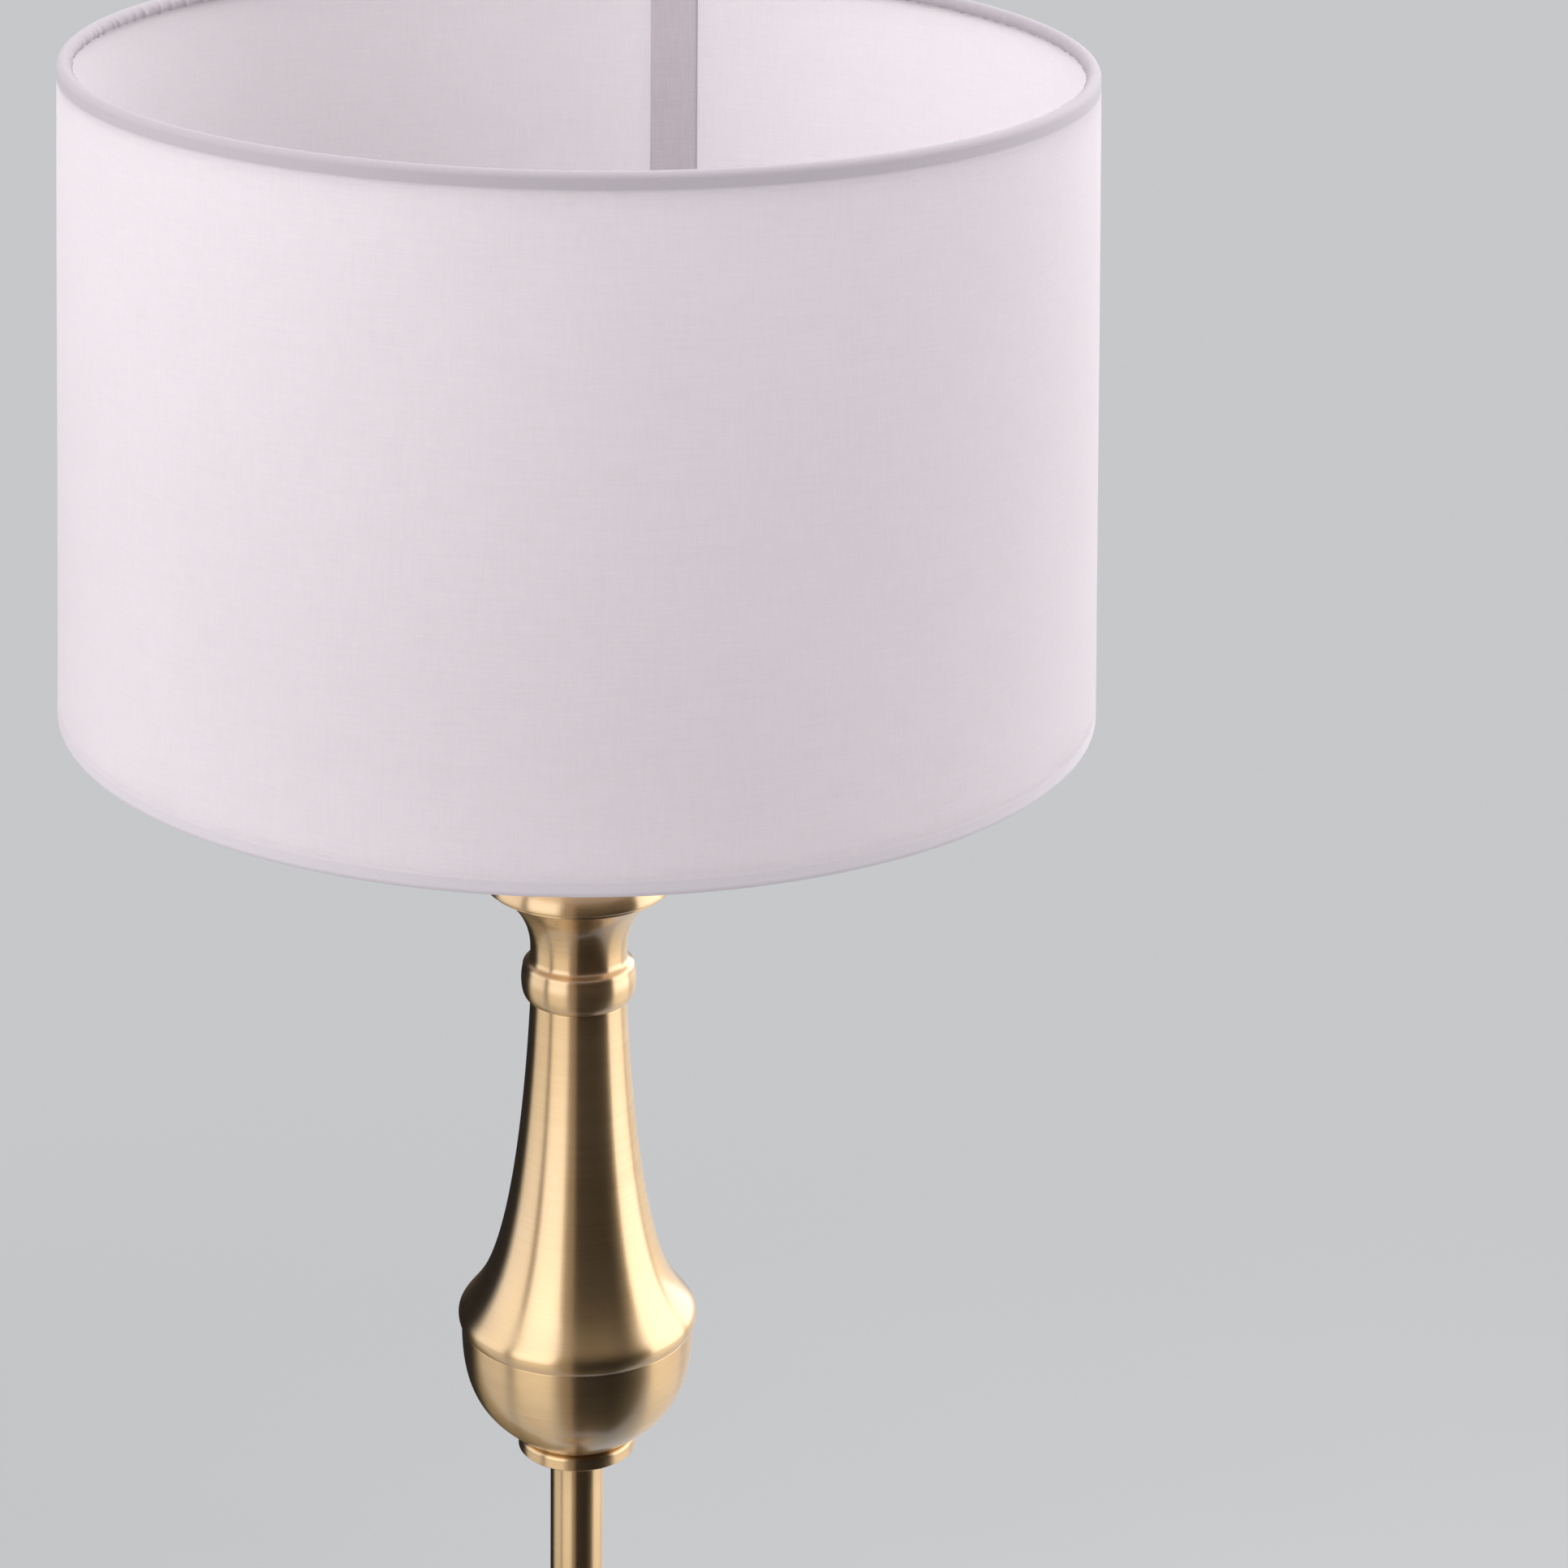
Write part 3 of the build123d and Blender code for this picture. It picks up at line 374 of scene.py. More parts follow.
# ----------------------------------------------------------------------------
# Vase: a spun bowl below and a spun trumpet above it. The bowl's rim is set in and enters the trumpet,
# which leaves one fine crease round the widest part.
# ----------------------------------------------------------------------------

VASE_WALL = 1.0
VASE_RADIUS = 48.8
CREASE_RADIUS = 47.5
BOWL_FOOT = 21.5
BOWL_TALL = 51.7
RIM_LAP, RIM_GAP = 2.5, 0.2
TRUMPET_TALL = 145.6
TRUMPET_TOP = 19.3
SHOULDER = 5.0


def bowl_side(inset):
    """Half section of the bowl from its foot up to the crease, moved in by inset.

    The pulls of the curve are shares of its reach outwards and of its height."""
    foot, belly, tall = BOWL_FOOT - inset, CREASE_RADIUS - inset, BOWL_TALL - 2 * inset
    return [(foot, inset)] + bezier((foot, inset), (foot + 0.824 * (belly - foot), inset + 0.27 * tall),
                                    (belly, inset + 0.526 * tall), (belly, inset + tall), 48)


set_in = CREASE_RADIUS - VASE_WALL - RIM_GAP
rim_top = BOWL_TALL + RIM_LAP
bowl_profile = [(ROD_HOLE, 0)] + bowl_side(0) + [(set_in, BOWL_TALL), (set_in, rim_top)]
bowl_profile += [(set_in - VASE_WALL, rim_top), (set_in - VASE_WALL, BOWL_TALL - VASE_WALL)]
bowl_profile += bowl_side(VASE_WALL)[::-1] + [(ROD_HOLE, VASE_WALL)]
vase_bowl = turned("vase_bowl_spun", eased(bowl_profile, 0.3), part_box("vase_bowl")[0].z, antique_brass,
                   around=256)
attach(vase_bowl, "lamp")
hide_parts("vase_bowl")


def trumpet_side(inset):
    """Half section of the trumpet from its narrow top, out to the shoulder and in to the crease.

    The pulls of the curves are shares of its reach outwards and of its height, from the top down."""
    top, reach, tall = TRUMPET_TOP - inset, VASE_RADIUS - TRUMPET_TOP, TRUMPET_TALL - inset
    shoulder = 1 - SHOULDER / TRUMPET_TALL

    def at(outward, down):
        return top + outward * reach, -inset - down * tall

    points = [at(0, 0)] + bezier(at(0, 0), at(0.045, 0.196), at(0.203, 0.702), at(0.698, 0.868), 56)
    points += bezier(points[-1], at(0.864, 0.924), at(1, shoulder - 0.025), at(1, shoulder), 24)
    turn_in, drop = VASE_RADIUS - CREASE_RADIUS, (1 - shoulder) * tall
    radius = (drop * drop + turn_in * turn_in) / (2 * turn_in)
    centre = (VASE_RADIUS - inset - radius, points[-1][1])
    return points + arc(centre, radius, 0, -degrees(asin(drop / radius)), 10)[1:]


trumpet = [(ROD_HOLE, 0)] + trumpet_side(0) + trumpet_side(VASE_WALL)[::-1] + [(ROD_HOLE, -VASE_WALL)]
vase_trumpet = turned("vase_trumpet_spun", eased(trumpet, 0.3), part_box("vase_trumpet")[1].z,
                      antique_brass, around=256)
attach(vase_trumpet, "lamp")
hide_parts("vase_trumpet")

# ----------------------------------------------------------------------------
# Neck and cap: turned from bar. A barrelled ring stands on the trumpet and runs out into a plain throat,
# which opens in a cove to a thin lip. The bell-shaped cap, hollowed below, closes it from above.
# ----------------------------------------------------------------------------

THROAT = 19.3
LIP, LIP_THICK = 35.6, 1.4
COVE = 29.0
RING, RING_BARREL = 22.4, 23.13
RING_FOOT, RING_SHOULDER, RING_TOP = 4.2, 14.2, 20.0
COVE_START = 22.8
NECK_BORE, NECK_BORE_TALL = 14, 34
cove_turn = acos(1 - (LIP - THROAT) / COVE)
neck_tall = COVE_START + COVE * sin(cove_turn) + LIP_THICK
neck_profile = [(NECK_BORE, 0), (THROAT, 0)]
neck_profile += bezier((THROAT, 0), (20.6, 0.6), (21.9, 2.2), (RING, RING_FOOT), 10)
neck_profile += bezier((RING, RING_FOOT), (RING_BARREL, 7.5), (RING_BARREL, 10.9), (RING, RING_SHOULDER), 14)
neck_profile += bezier((RING, RING_SHOULDER), (22.3, 18.2), (THROAT, 15.9), (THROAT, RING_TOP), 18)
neck_profile += arc((THROAT + COVE, COVE_START), COVE, 180, 180 - degrees(cove_turn), 24)
neck_profile += [(LIP, neck_tall), (ROD_HOLE, neck_tall), (ROD_HOLE, NECK_BORE_TALL),
                 (NECK_BORE, NECK_BORE_TALL)]
neck = turned("neck_turned", eased(neck_profile, 0.35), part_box("neck")[0].z, antique_brass, around=192)
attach(neck, "lamp")
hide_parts("neck")

CAP, CAP_EDGE = 37.8, 1
CAP_TALL, CAP_FLAT = 18.0, 12
CAP_HOLLOW, CAP_HOLLOW_TALL = 26, 11
cap_profile = [(ROD_HOLE, CAP_HOLLOW_TALL), (CAP_HOLLOW, CAP_HOLLOW_TALL), (CAP_HOLLOW, 0)]
cap_profile += arc((CAP - CAP_EDGE, CAP_EDGE), CAP_EDGE, -90, 0, 6)
cap_profile += bezier((CAP, CAP_EDGE), (CAP, 9), (28, CAP_TALL), (CAP_FLAT, CAP_TALL), 36)
cap_profile += [(ROD_HOLE, CAP_TALL)]
vase_cap = turned("vase_cap_turned", eased(cap_profile, 0.3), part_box("vase_cap")[0].z, antique_brass,
                  around=192)
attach(vase_cap, "lamp")
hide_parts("vase_cap")

# ----------------------------------------------------------------------------
# Lampholder: drawn brass dome and sleeve, a flange for the shade and an outside thread above it for the
# ribbed shade ring, all finished like the column. The screw shell, contact and bar ends are bare brass.
# ----------------------------------------------------------------------------

HOLDER, HOLDER_WALL = 20, 1
ENTRY, ENTRY_TALL = 8.5, 5
DOME_SHOULDER, DOME_TALL = 18, 34
dome_inside = HOLDER - HOLDER_WALL
entry_inside = ENTRY - HOLDER_WALL
dome_profile = [(ROD_HOLE, 0), (ENTRY, 0), (ENTRY, ENTRY_TALL)]
dome_profile += bezier((ENTRY, ENTRY_TALL), (16, 5.5), (HOLDER, 10), (HOLDER, DOME_SHOULDER), 24)
dome_profile += [(HOLDER, DOME_TALL), (dome_inside, DOME_TALL), (dome_inside, DOME_SHOULDER + HOLDER_WALL)]
dome_profile += bezier((dome_inside, DOME_SHOULDER + HOLDER_WALL), (dome_inside, 11), (15, 6.5),
                       (entry_inside, ENTRY_TALL + HOLDER_WALL), 20)
dome_profile += [(entry_inside, HOLDER_WALL), (ROD_HOLE, HOLDER_WALL)]
holder_dome = turned("holder_dome_drawn", eased(dome_profile, 0.3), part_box("holder_dome")[0].z,
                     antique_brass, around=128)
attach(holder_dome, "lamp")
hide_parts("holder_dome")


def thread(pitch, depth, start, end, fade=1.2, least=0.0):
    """A rolled right-hand screw thread between two heights, on the surfaces beyond a least radius.

    It fades in and out over a short height at each end."""
    def shape(angle, radius, height):
        if radius < least:
            return radius, height
        share = min(1, max(0, (height - start) / fade)) * min(1, max(0, (end - height) / fade))
        turns = height / pitch - angle / (2 * pi)
        return radius + share * depth * (cos(2 * pi * turns) - 1) / 2, height
    return shape


def risers(radius, low, high, step):
    """Points up a straight side, close enough together to carry a thread."""
    count = ceil((high - low) / step)
    return [(radius, low + (high - low) * index / count) for index in range(count + 1)]


SPIGOT, SPIGOT_TALL = 18.9, 4      # the end that enters the dome
SKIRT, SKIRT_TALL = 19.5, 18
HOLDER_FLANGE, HOLDER_FLANGE_THICK = 24.5, 2
SKIRT_PITCH, SKIRT_THREAD = 2.5, 0.5
body_low, body_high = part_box("holder_body")
body_tall = (body_high.z - body_low.z) / mm
flange_top = body_tall - SKIRT_TALL
flange_foot = flange_top - HOLDER_FLANGE_THICK
body_profile = [(SPIGOT, 0), (SPIGOT, SPIGOT_TALL), (HOLDER, SPIGOT_TALL), (HOLDER, flange_foot)]
body_profile += [(HOLDER_FLANGE, flange_foot), (HOLDER_FLANGE, flange_top)]
body_profile += risers(SKIRT, flange_top, body_tall, 0.3)
body_profile += [(SKIRT - HOLDER_WALL, body_tall), (SKIRT - HOLDER_WALL, SPIGOT_TALL + HOLDER_WALL),
                 (SPIGOT - HOLDER_WALL, SPIGOT_TALL + HOLDER_WALL), (SPIGOT - HOLDER_WALL, 0)]
holder_body = turned(
    "holder_body_drawn", eased(body_profile, 0.25), body_low.z, antique_brass, around=144,
    shape=thread(SKIRT_PITCH, SKIRT_THREAD, flange_top + 0.6, body_tall - 0.8, least=SKIRT - 0.3))
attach(holder_body, "lamp")
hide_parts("holder_body")

RING_BORE, RING_GRIP, RING_UPPER = 19.6, 27.5, 24.4
RING_TALL = 6
RING_EDGE = 0.6
RIBS, RIB_DEEP = 60, 0.45


def ribbed(angle, radius, height):
    """Upright ribs round the outside of the shade ring, for the fingers."""
    if radius < RING_UPPER + 0.4:
        return radius, height
    return radius - RIB_DEEP * (1 - abs(sin(angle * RIBS / 2))) ** 1.5, height


ring_profile = [(RING_BORE, 0), (RING_GRIP - RING_EDGE, 0), (RING_GRIP, RING_EDGE), (RING_GRIP, 2.4),
                (26.6, 3.1), (25.0, 3.4), (RING_UPPER, 4), (RING_UPPER, RING_TALL - RING_EDGE),
                (RING_UPPER - RING_EDGE, RING_TALL), (RING_BORE, RING_TALL)]
shade_ring = turned("shade_ring_ribbed", eased(ring_profile, 0.3, 4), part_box("shade_ring")[0].z,
                    antique_brass, around=RIBS * 8, shape=ribbed)
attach(shade_ring, "lamp")
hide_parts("shade_ring")

plain_brass = brushed_metal("plain_brass", (238, 208, 150), (214, 178, 118), 0.2, 0.03 * mm)
SHELL, SHELL_WALL = 13.9, 0.45
SHELL_PITCH, SHELL_THREAD = 3.629, 0.95
# heights are counted from the floor, so that this thread meets the thread of the bulb's cap
shell_low, shell_high = (corner.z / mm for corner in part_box("screw_shell"))
outside = risers(SHELL, shell_low, shell_high, 0.4)
inside = [(radius - SHELL_WALL, height) for radius, height in outside[::-1]]
screw_shell = turned("screw_shell_rolled", outside + inside, 0.0, plain_brass, around=96,
                     shape=thread(SHELL_PITCH, SHELL_THREAD, shell_low, shell_high, 2.0))
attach(screw_shell, "lamp")
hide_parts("screw_shell")


def coat(material, *parts):
    """Give its finish to each solid that shows as it is."""
    for part in parts:
        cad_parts[part].material_slots[0].material = material


coat(plain_brass, "contact_tongue", "push_bar_caps", "tube_bushes")

# ----------------------------------------------------------------------------
# Moulded and fired parts of the lampholder: the dark block that guides the switch bar, and the glazed
# white core under the contact.
# ----------------------------------------------------------------------------


def moulded(name, colour, roughness, grain=900, depth=0.03 * mm, spread=14):
    """A moulding, casting or coat of paint: a fine even grain and a slight change of tone."""
    finish = Finish(name)
    fine = finish.speckle(grain, 3.0, 0.6)
    tone = finish.speckle(60, 2.0, 0.5)
    darker = tuple(max(0, part - spread) for part in colour)
    lighter = tuple(min(255, part + spread) for part in colour)
    share = (tone * 1.6 + fine * 0.5 - 0.55).held()
    return finish.surface(
        Base_Color=finish.blend(share, shade_of(*darker), shade_of(*lighter)),
        Roughness=(roughness - 0.08 + fine * 0.16).held(0.05, 1.0),
        Normal=finish.bump(fine, depth, 0.5),
    )


coat(moulded("switch_moulding", (46, 40, 36), 0.5), "switch_block", "push_bar")
coat(moulded("ceramic", (232, 229, 220), 0.22, 400, spread=6), "holder_core")

# ----------------------------------------------------------------------------
# Bulb: a blown opal globe on a rolled screw cap, with the glass insulator and the solder button below.
# It screws out of the lampholder.
# ----------------------------------------------------------------------------

opal = Finish("opal_glass")
cloud = opal.speckle(45, 2.0, 0.5)
opal_glass = opal.surface(
    Base_Color=opal.blend((cloud * 1.4 - 0.2).held(), shade_of(232, 229, 222), shade_of(244, 242, 237)),
    Roughness=(0.12 + cloud * 0.1).held(),
    IOR=1.5,
    Coat_Weight=0.25,
    Normal=opal.bump(cloud, 0.1 * mm, 0.2),
)
GLOBE, GLOBE_WALL = 30, 0.8
GLOBE_NECK, GLOBE_NECK_TALL = 12.4, 8
globe_low, globe_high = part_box("bulb_glass")
globe_tall = (globe_high.z - globe_low.z) / mm


def globe_profile(inset):
    """Half section of the glass from the neck's foot to the crown, moved in by inset."""
    neck_side, belly = GLOBE_NECK - inset, GLOBE - inset
    centre = globe_tall - GLOBE
    points = [(neck_side, 0), (neck_side, GLOBE_NECK_TALL)]
    points += bezier(points[-1], (neck_side, GLOBE_NECK_TALL + 0.45 * (centre - 6)),
                     (belly, centre - GLOBE / 2), (belly, centre), 28)
    return points + arc((0, centre), belly, 0, 90, 24)[1:]


bulb_glass = turned("bulb_globe", globe_profile(0) + globe_profile(GLOBE_WALL)[::-1], globe_low.z,
                    opal_glass, around=128)
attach(bulb_glass, "bulb")
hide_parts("bulb_glass")

bulb_cap_metal = brushed_metal("bulb_cap_metal", (214, 214, 210), (176, 176, 172), 0.3, 0.03 * mm)
BULB_CAP, BULB_CAP_FOOT, BULB_CAP_BORE = 13.1, 11.4, 11.8
BULB_CAP_FLOOR = 2.6
CAP_THREAD = 0.85
cap_low, cap_high = (corner.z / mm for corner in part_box("bulb_cap"))
cap_outside = [(BULB_CAP_FOOT, cap_low), (12.6, cap_low + 1.2)]
cap_outside += risers(BULB_CAP, cap_low + 2.2, cap_high - 0.8, 0.3) + [(13.0, cap_high)]
cap_inside = [(12.6, cap_high), (BULB_CAP_BORE, cap_high - 0.8), (BULB_CAP_BORE, cap_low + BULB_CAP_FLOOR),
              (0.0, cap_low + BULB_CAP_FLOOR), (0.0, cap_low + 0.05)]
bulb_cap = turned(
    "bulb_cap_rolled", cap_outside + cap_inside, 0.0, bulb_cap_metal, around=96,
    shape=thread(SHELL_PITCH, CAP_THREAD, cap_low + 2.0, cap_high - 3.5, 1.5, least=BULB_CAP - 0.2))
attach(bulb_cap, "bulb")
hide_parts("bulb_cap")
coat(moulded("bulb_insulator", (38, 30, 34), 0.15, 300), "bulb_contact")

# ----------------------------------------------------------------------------
# Shade cover: white cotton on a stiff translucent backing, rolled round both wire rings. The cloth runs
# from its tucked edge under the bottom ring, up the wall, over the top ring and in again. Small
# slanting tucks take up its fullness on the inside of each roll.
# ----------------------------------------------------------------------------

BOTTOM_RADIUS, TOP_RADIUS, MEAN_RADIUS = 200.0, 190.0, 195.0


def cloth(name, colour, threads, nap, glow, roughness, rolls=()):
    """Plain woven cotton: crossing threads, a few thicker ones, fine nap, and some light through it.

    rolls are the heights of the wires that it is rolled round, each with its painted shade, a colour deeper
    than the cloth's for the shadow of the wire and the folded cloth, where no light comes through it."""
    deepening = 18               # from the lightest thread to the darkest, of 255
    roll_reach, roll_fade = 3.2 * mm, 1.6 * mm
    finish = Finish(name)
    x, y, z = finish.x, finish.y, finish.z
    turn = y.math("ARCTAN2", y, x)
    pitch = 2 * pi * MEAN_RADIUS * mm / threads
    weave = (turn * threads).sine() * (z * (2 * pi / pitch)).sine()
    # noise drawn out round the drum and up it makes the thicker threads
    weft = finish.grain(x * 70, y * 70, z * 1900, 2.0, 0.6)
    warp = finish.grain(x * 1700, y * 1700, z * 60, 2.0, 0.6)
    fuzz = finish.speckle(2100, 2.0, 0.7)
    tone = finish.speckle(12, 2.0, 0.5)
    darker = tuple(part - deepening for part in colour)
    share = (0.5 + (weft - 0.5) * 1.0 + (warp - 0.5) * 0.9 + (tone - 0.5) * 0.4 + weave * 0.1).held()
    tint = finish.blend(share, shade_of(*darker), shade_of(*colour))
    # painted shade: round each roll the colour is darkened to that roll's painted tone, and no light comes
    # through
    for roll, roll_painted_shade in rolls:
        wall = ((abs(z - roll) - roll_reach) * (1 / roll_fade)).held()
        tint = finish.blend(wall, shade_of(*roll_painted_shade), tint)
        glow = glow * wall
    height = weave * 0.22 + weft * 0.5 + warp * 0.35 + fuzz * nap
    bump = finish.bump(height, 0.14 * mm, 0.75)
    front = finish.add("ShaderNodeBsdfPrincipled", {}, {
        "Base Color": tint,
        "Roughness": (roughness - 0.05 + fuzz * 0.1).held(),
        "Specular IOR Level": 0.2,
        "Sheen Weight": 0.25,
        "Sheen Roughness": 0.45,
        "Sheen Tint": (1.0, 0.99, 1.0, 1.0),
        "Normal": bump,
    })
    through = finish.add("ShaderNodeBsdfTranslucent", {}, {"Color": shade_of(*colour), "Normal": bump})
    both = finish.add("ShaderNodeMixShader", {}, {0: glow, 1: front, 2: through})
    finish.add("ShaderNodeOutputMaterial", {}, {"Surface": both})
    return finish.material


COTTON_WHITE = (243, 238, 241)
shade_low, shade_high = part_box("shade_cover")
# each roll's wire height and its painted shade; the top one, lit from behind, is painted darker still
bottom_roll = (shade_low.z + 2.5 * mm, (204, 196, 202))
top_roll = (shade_high.z - 2.5 * mm, (182, 173, 180))
shade_cotton = cloth("shade_cotton", COTTON_WHITE, 3000, nap=0.9, glow=0.56, roughness=0.88,
                     rolls=(bottom_roll, top_roll))
SHADE_TALL = (shade_high.z - shade_low.z) / mm
ROLL = 2.55
SEAM_TURN = radians(78.5)
SLOPE = (BOTTOM_RADIUS - TOP_RADIUS) / SHADE_TALL


def wall_radius(height):
    """The outside of the drum at a height above its lower edge."""
    return BOTTOM_RADIUS - SLOPE * height


def tucks(seed):
    """Small folds round a roll: each has an angle, a width and a height in mm, and a slant."""
    widths, heights, slants = (2.2, 4.4), (0.25, 0.95), (-3.4, -0.8)
    spacings = (0.016, 0.05)     # angles from one fold to the next
    draw = random.Random(seed)
    folds = []
    angle = draw.uniform(0.0, 0.02)
    while angle < 2 * pi:
        folds.append((angle, draw.uniform(*widths), draw.uniform(*heights), draw.uniform(*slants)))
        angle += draw.uniform(*spacings)
    return folds


def roll_surface(folds, angle, turn):
    """How far the cloth stands off the roll at an angle round the shade and a turn round the wire.

    A fold climbs slowly on one side and drops quickly on the other. It starts over the wire and is full
    on the inside."""
    first_turn, full_turn, middle_turn, slant_turn = 105, 190, 170, 60     # degrees round the wire
    nearby = 0.06                # no fold reaches further round the shade than this angle
    steep_side = 0.8
    inside = min(1, max(0, (turn - first_turn) / (full_turn - first_turn)))
    if inside <= 0:
        return 0.0
    stand = 0.0
    for place_round, width, height, slant in folds:
        offset = (angle - place_round + pi) % (2 * pi) - pi
        if abs(offset) > nearby:
            continue
        along = offset * TOP_RADIUS - slant * (turn - middle_turn) / slant_turn
        if -width < along <= 0:
            stand += height * (1 + along / width) ** 1.5
        elif 0 < along < steep_side:
            stand += height * (1 - along / steep_side)
    return inside * stand


def unevenness(angle, height):
    """Slow waves left in the wall by rolling and gluing, in mm."""
    slow = sin(3 * angle + 0.8) * 0.10 + sin(7 * angle + height / 60) * 0.06
    return slow + sin(13 * angle - height / 35 + 2) * 0.04 + sin(29 * angle + height / 90) * 0.025


LAP_THICK, LAP_WIDE = 0.42, 14
LAP_EDGE, LAP_END = 1.2, 5    # over which it starts, and thins out under the other end


def lap(angle):
    """Thickness of the second layer where the ends of the cloth lap at the back, in mm."""
    along = ((angle - SEAM_TURN + pi) % (2 * pi) - pi) * MEAN_RADIUS
    if not -LAP_EDGE < along < LAP_WIDE:
        return 0.0
    return LAP_THICK * min(1, (along + LAP_EDGE) / LAP_EDGE) * min(1, (LAP_WIDE - along) / LAP_END)


bottom_folds, top_folds = tucks(11), tucks(23)
AROUND = 1440
ROLL_END, ROLL_STEPS = 238, 22      # degrees round the wire to the tucked edge
WALL_STEPS = 16
WALL_EASE = 12                      # the wall is even where it leaves the rings, and uneven beyond this
roll_turns = [ROLL_END * step / ROLL_STEPS for step in range(ROLL_STEPS, 0, -1)]
wall_levels = [ROLL + (SHADE_TALL - 2 * ROLL) * step / WALL_STEPS for step in range(WALL_STEPS + 1)]
bottom_wire = (wall_radius(ROLL) - ROLL, ROLL)
top_wire = (wall_radius(SHADE_TALL - ROLL) - ROLL, SHADE_TALL - ROLL)
points = []
for step in range(AROUND):
    angle = 2 * pi * step / AROUND
    extra = lap(angle)
    pressed = extra * 0.5        # the lap is pressed thinner where it is rolled
    section = []
    for turn in roll_turns:
        # from the tucked edge inside, down and round the bottom ring to its outer side
        reach = ROLL + roll_surface(bottom_folds, angle, turn) + pressed
        beside, below = reach * cos(radians(turn)), reach * sin(radians(turn))
        section.append((bottom_wire[0] + beside, bottom_wire[1] - below))
    for level in wall_levels:
        rise = min(1, (level - ROLL) / WALL_EASE) * min(1, (SHADE_TALL - ROLL - level) / WALL_EASE)
        section.append((wall_radius(level) + extra + rise * unevenness(angle, level), level))
    for turn in roll_turns[::-1]:
        reach = ROLL + roll_surface(top_folds, angle, turn) + pressed
        beside, above = reach * cos(radians(turn)), reach * sin(radians(turn))
        section.append((top_wire[0] + beside, top_wire[1] + above))
    for radius, height in section:
        points.append((radius * cos(angle) * mm, radius * sin(angle) * mm, shade_low.z + height * mm))
rows = len(section)
faces = []
for step in range(AROUND):
    here, there = step * rows, (step + 1) % AROUND * rows
    for index in range(rows - 1):
        faces.append((here + index, there + index, there + index + 1, here + index + 1))
shade_cover = place("shade_cover_cloth", points, faces, shade_cotton, welded=False)
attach(shade_cover, "shade")
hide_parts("shade_cover")

# ----------------------------------------------------------------------------
# Lining: smooth white cloth glued inside the wall between the rolls, and the strip that covers the joint
# of its two ends at the back.
# ----------------------------------------------------------------------------

shade_lining = cloth("shade_lining", COTTON_WHITE, 3400, nap=0.3, glow=0.54, roughness=0.8)
LINING_DEPTH = 1.55
LINING_MARGIN = 4.2           # left free above and below it, where the rolls are
LINING_STEPS = 20
GLUED = 0.6                   # how much of the wall's unevenness comes through to the inside
lining_levels = [LINING_MARGIN + (SHADE_TALL - 2 * LINING_MARGIN) * step / LINING_STEPS
                 for step in range(LINING_STEPS + 1)]
lining_profile = [(wall_radius(level) - LINING_DEPTH, level) for level in lining_levels]


def glued(angle, radius, height):
    """The lining follows the wall that it is glued to."""
    return radius + GLUED * unevenness(angle, height), height


shade_liner = turned("shade_lining_cloth", lining_profile, shade_low.z, shade_lining, around=480,
                     closed=False, shape=glued)
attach(shade_liner, "shade")
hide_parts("shade_liner")

STRIP_WIDE, STRIP_THICK = 20.0, 0.35
STRIP_LIFT, STRIP_EDGE = 0.5, 1.2
STRIP_STEPS = 16
# the strip lets little light through; its colour, darker than the cotton's, is painted shade at the seam
strip_painted_shade_cloth = cloth("lining_strip", (216, 206, 213), 3400, nap=0.3, glow=0.08, roughness=0.8)
strip_points = []
for level in lining_levels:
    for side in range(STRIP_STEPS + 1):
        across = (side / STRIP_STEPS - 0.5) * STRIP_WIDE
        angle = SEAM_TURN + across / MEAN_RADIUS
        lift = STRIP_LIFT - 0.25 * max(0, abs(across) - STRIP_WIDE / 2 + STRIP_EDGE)
        radius = wall_radius(level) - LINING_DEPTH - lift + GLUED * unevenness(angle, level)
        strip_points.append((radius * cos(angle) * mm, radius * sin(angle) * mm, shade_low.z + level * mm))
strip_faces = []
for row in range(LINING_STEPS):
    for side in range(STRIP_STEPS):
        corner = row * (STRIP_STEPS + 1) + side
        strip_faces.append((corner, corner + 1, corner + STRIP_STEPS + 2, corner + STRIP_STEPS + 1))
lining_strip = place("lining_strip", strip_points, strip_faces, strip_painted_shade_cloth, welded=False)
thickness = lining_strip.modifiers.new("thickness", "SOLIDIFY")
thickness.thickness = STRIP_THICK * mm
thickness.offset = 1.0
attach(lining_strip, "shade")
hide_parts("seam_overlap")

# ----------------------------------------------------------------------------
# Shade frame: two wire rings, three arms and the fitter washer, spot-welded and powder-coated white.
# ----------------------------------------------------------------------------

white_wire = moulded("white_wire", (238, 237, 233), 0.42, 700, 0.05 * mm, 5)
coat(white_wire, "top_ring", "bottom_ring", "spider_arm_1", "spider_arm_2", "spider_arm_3", "fitter_ring")

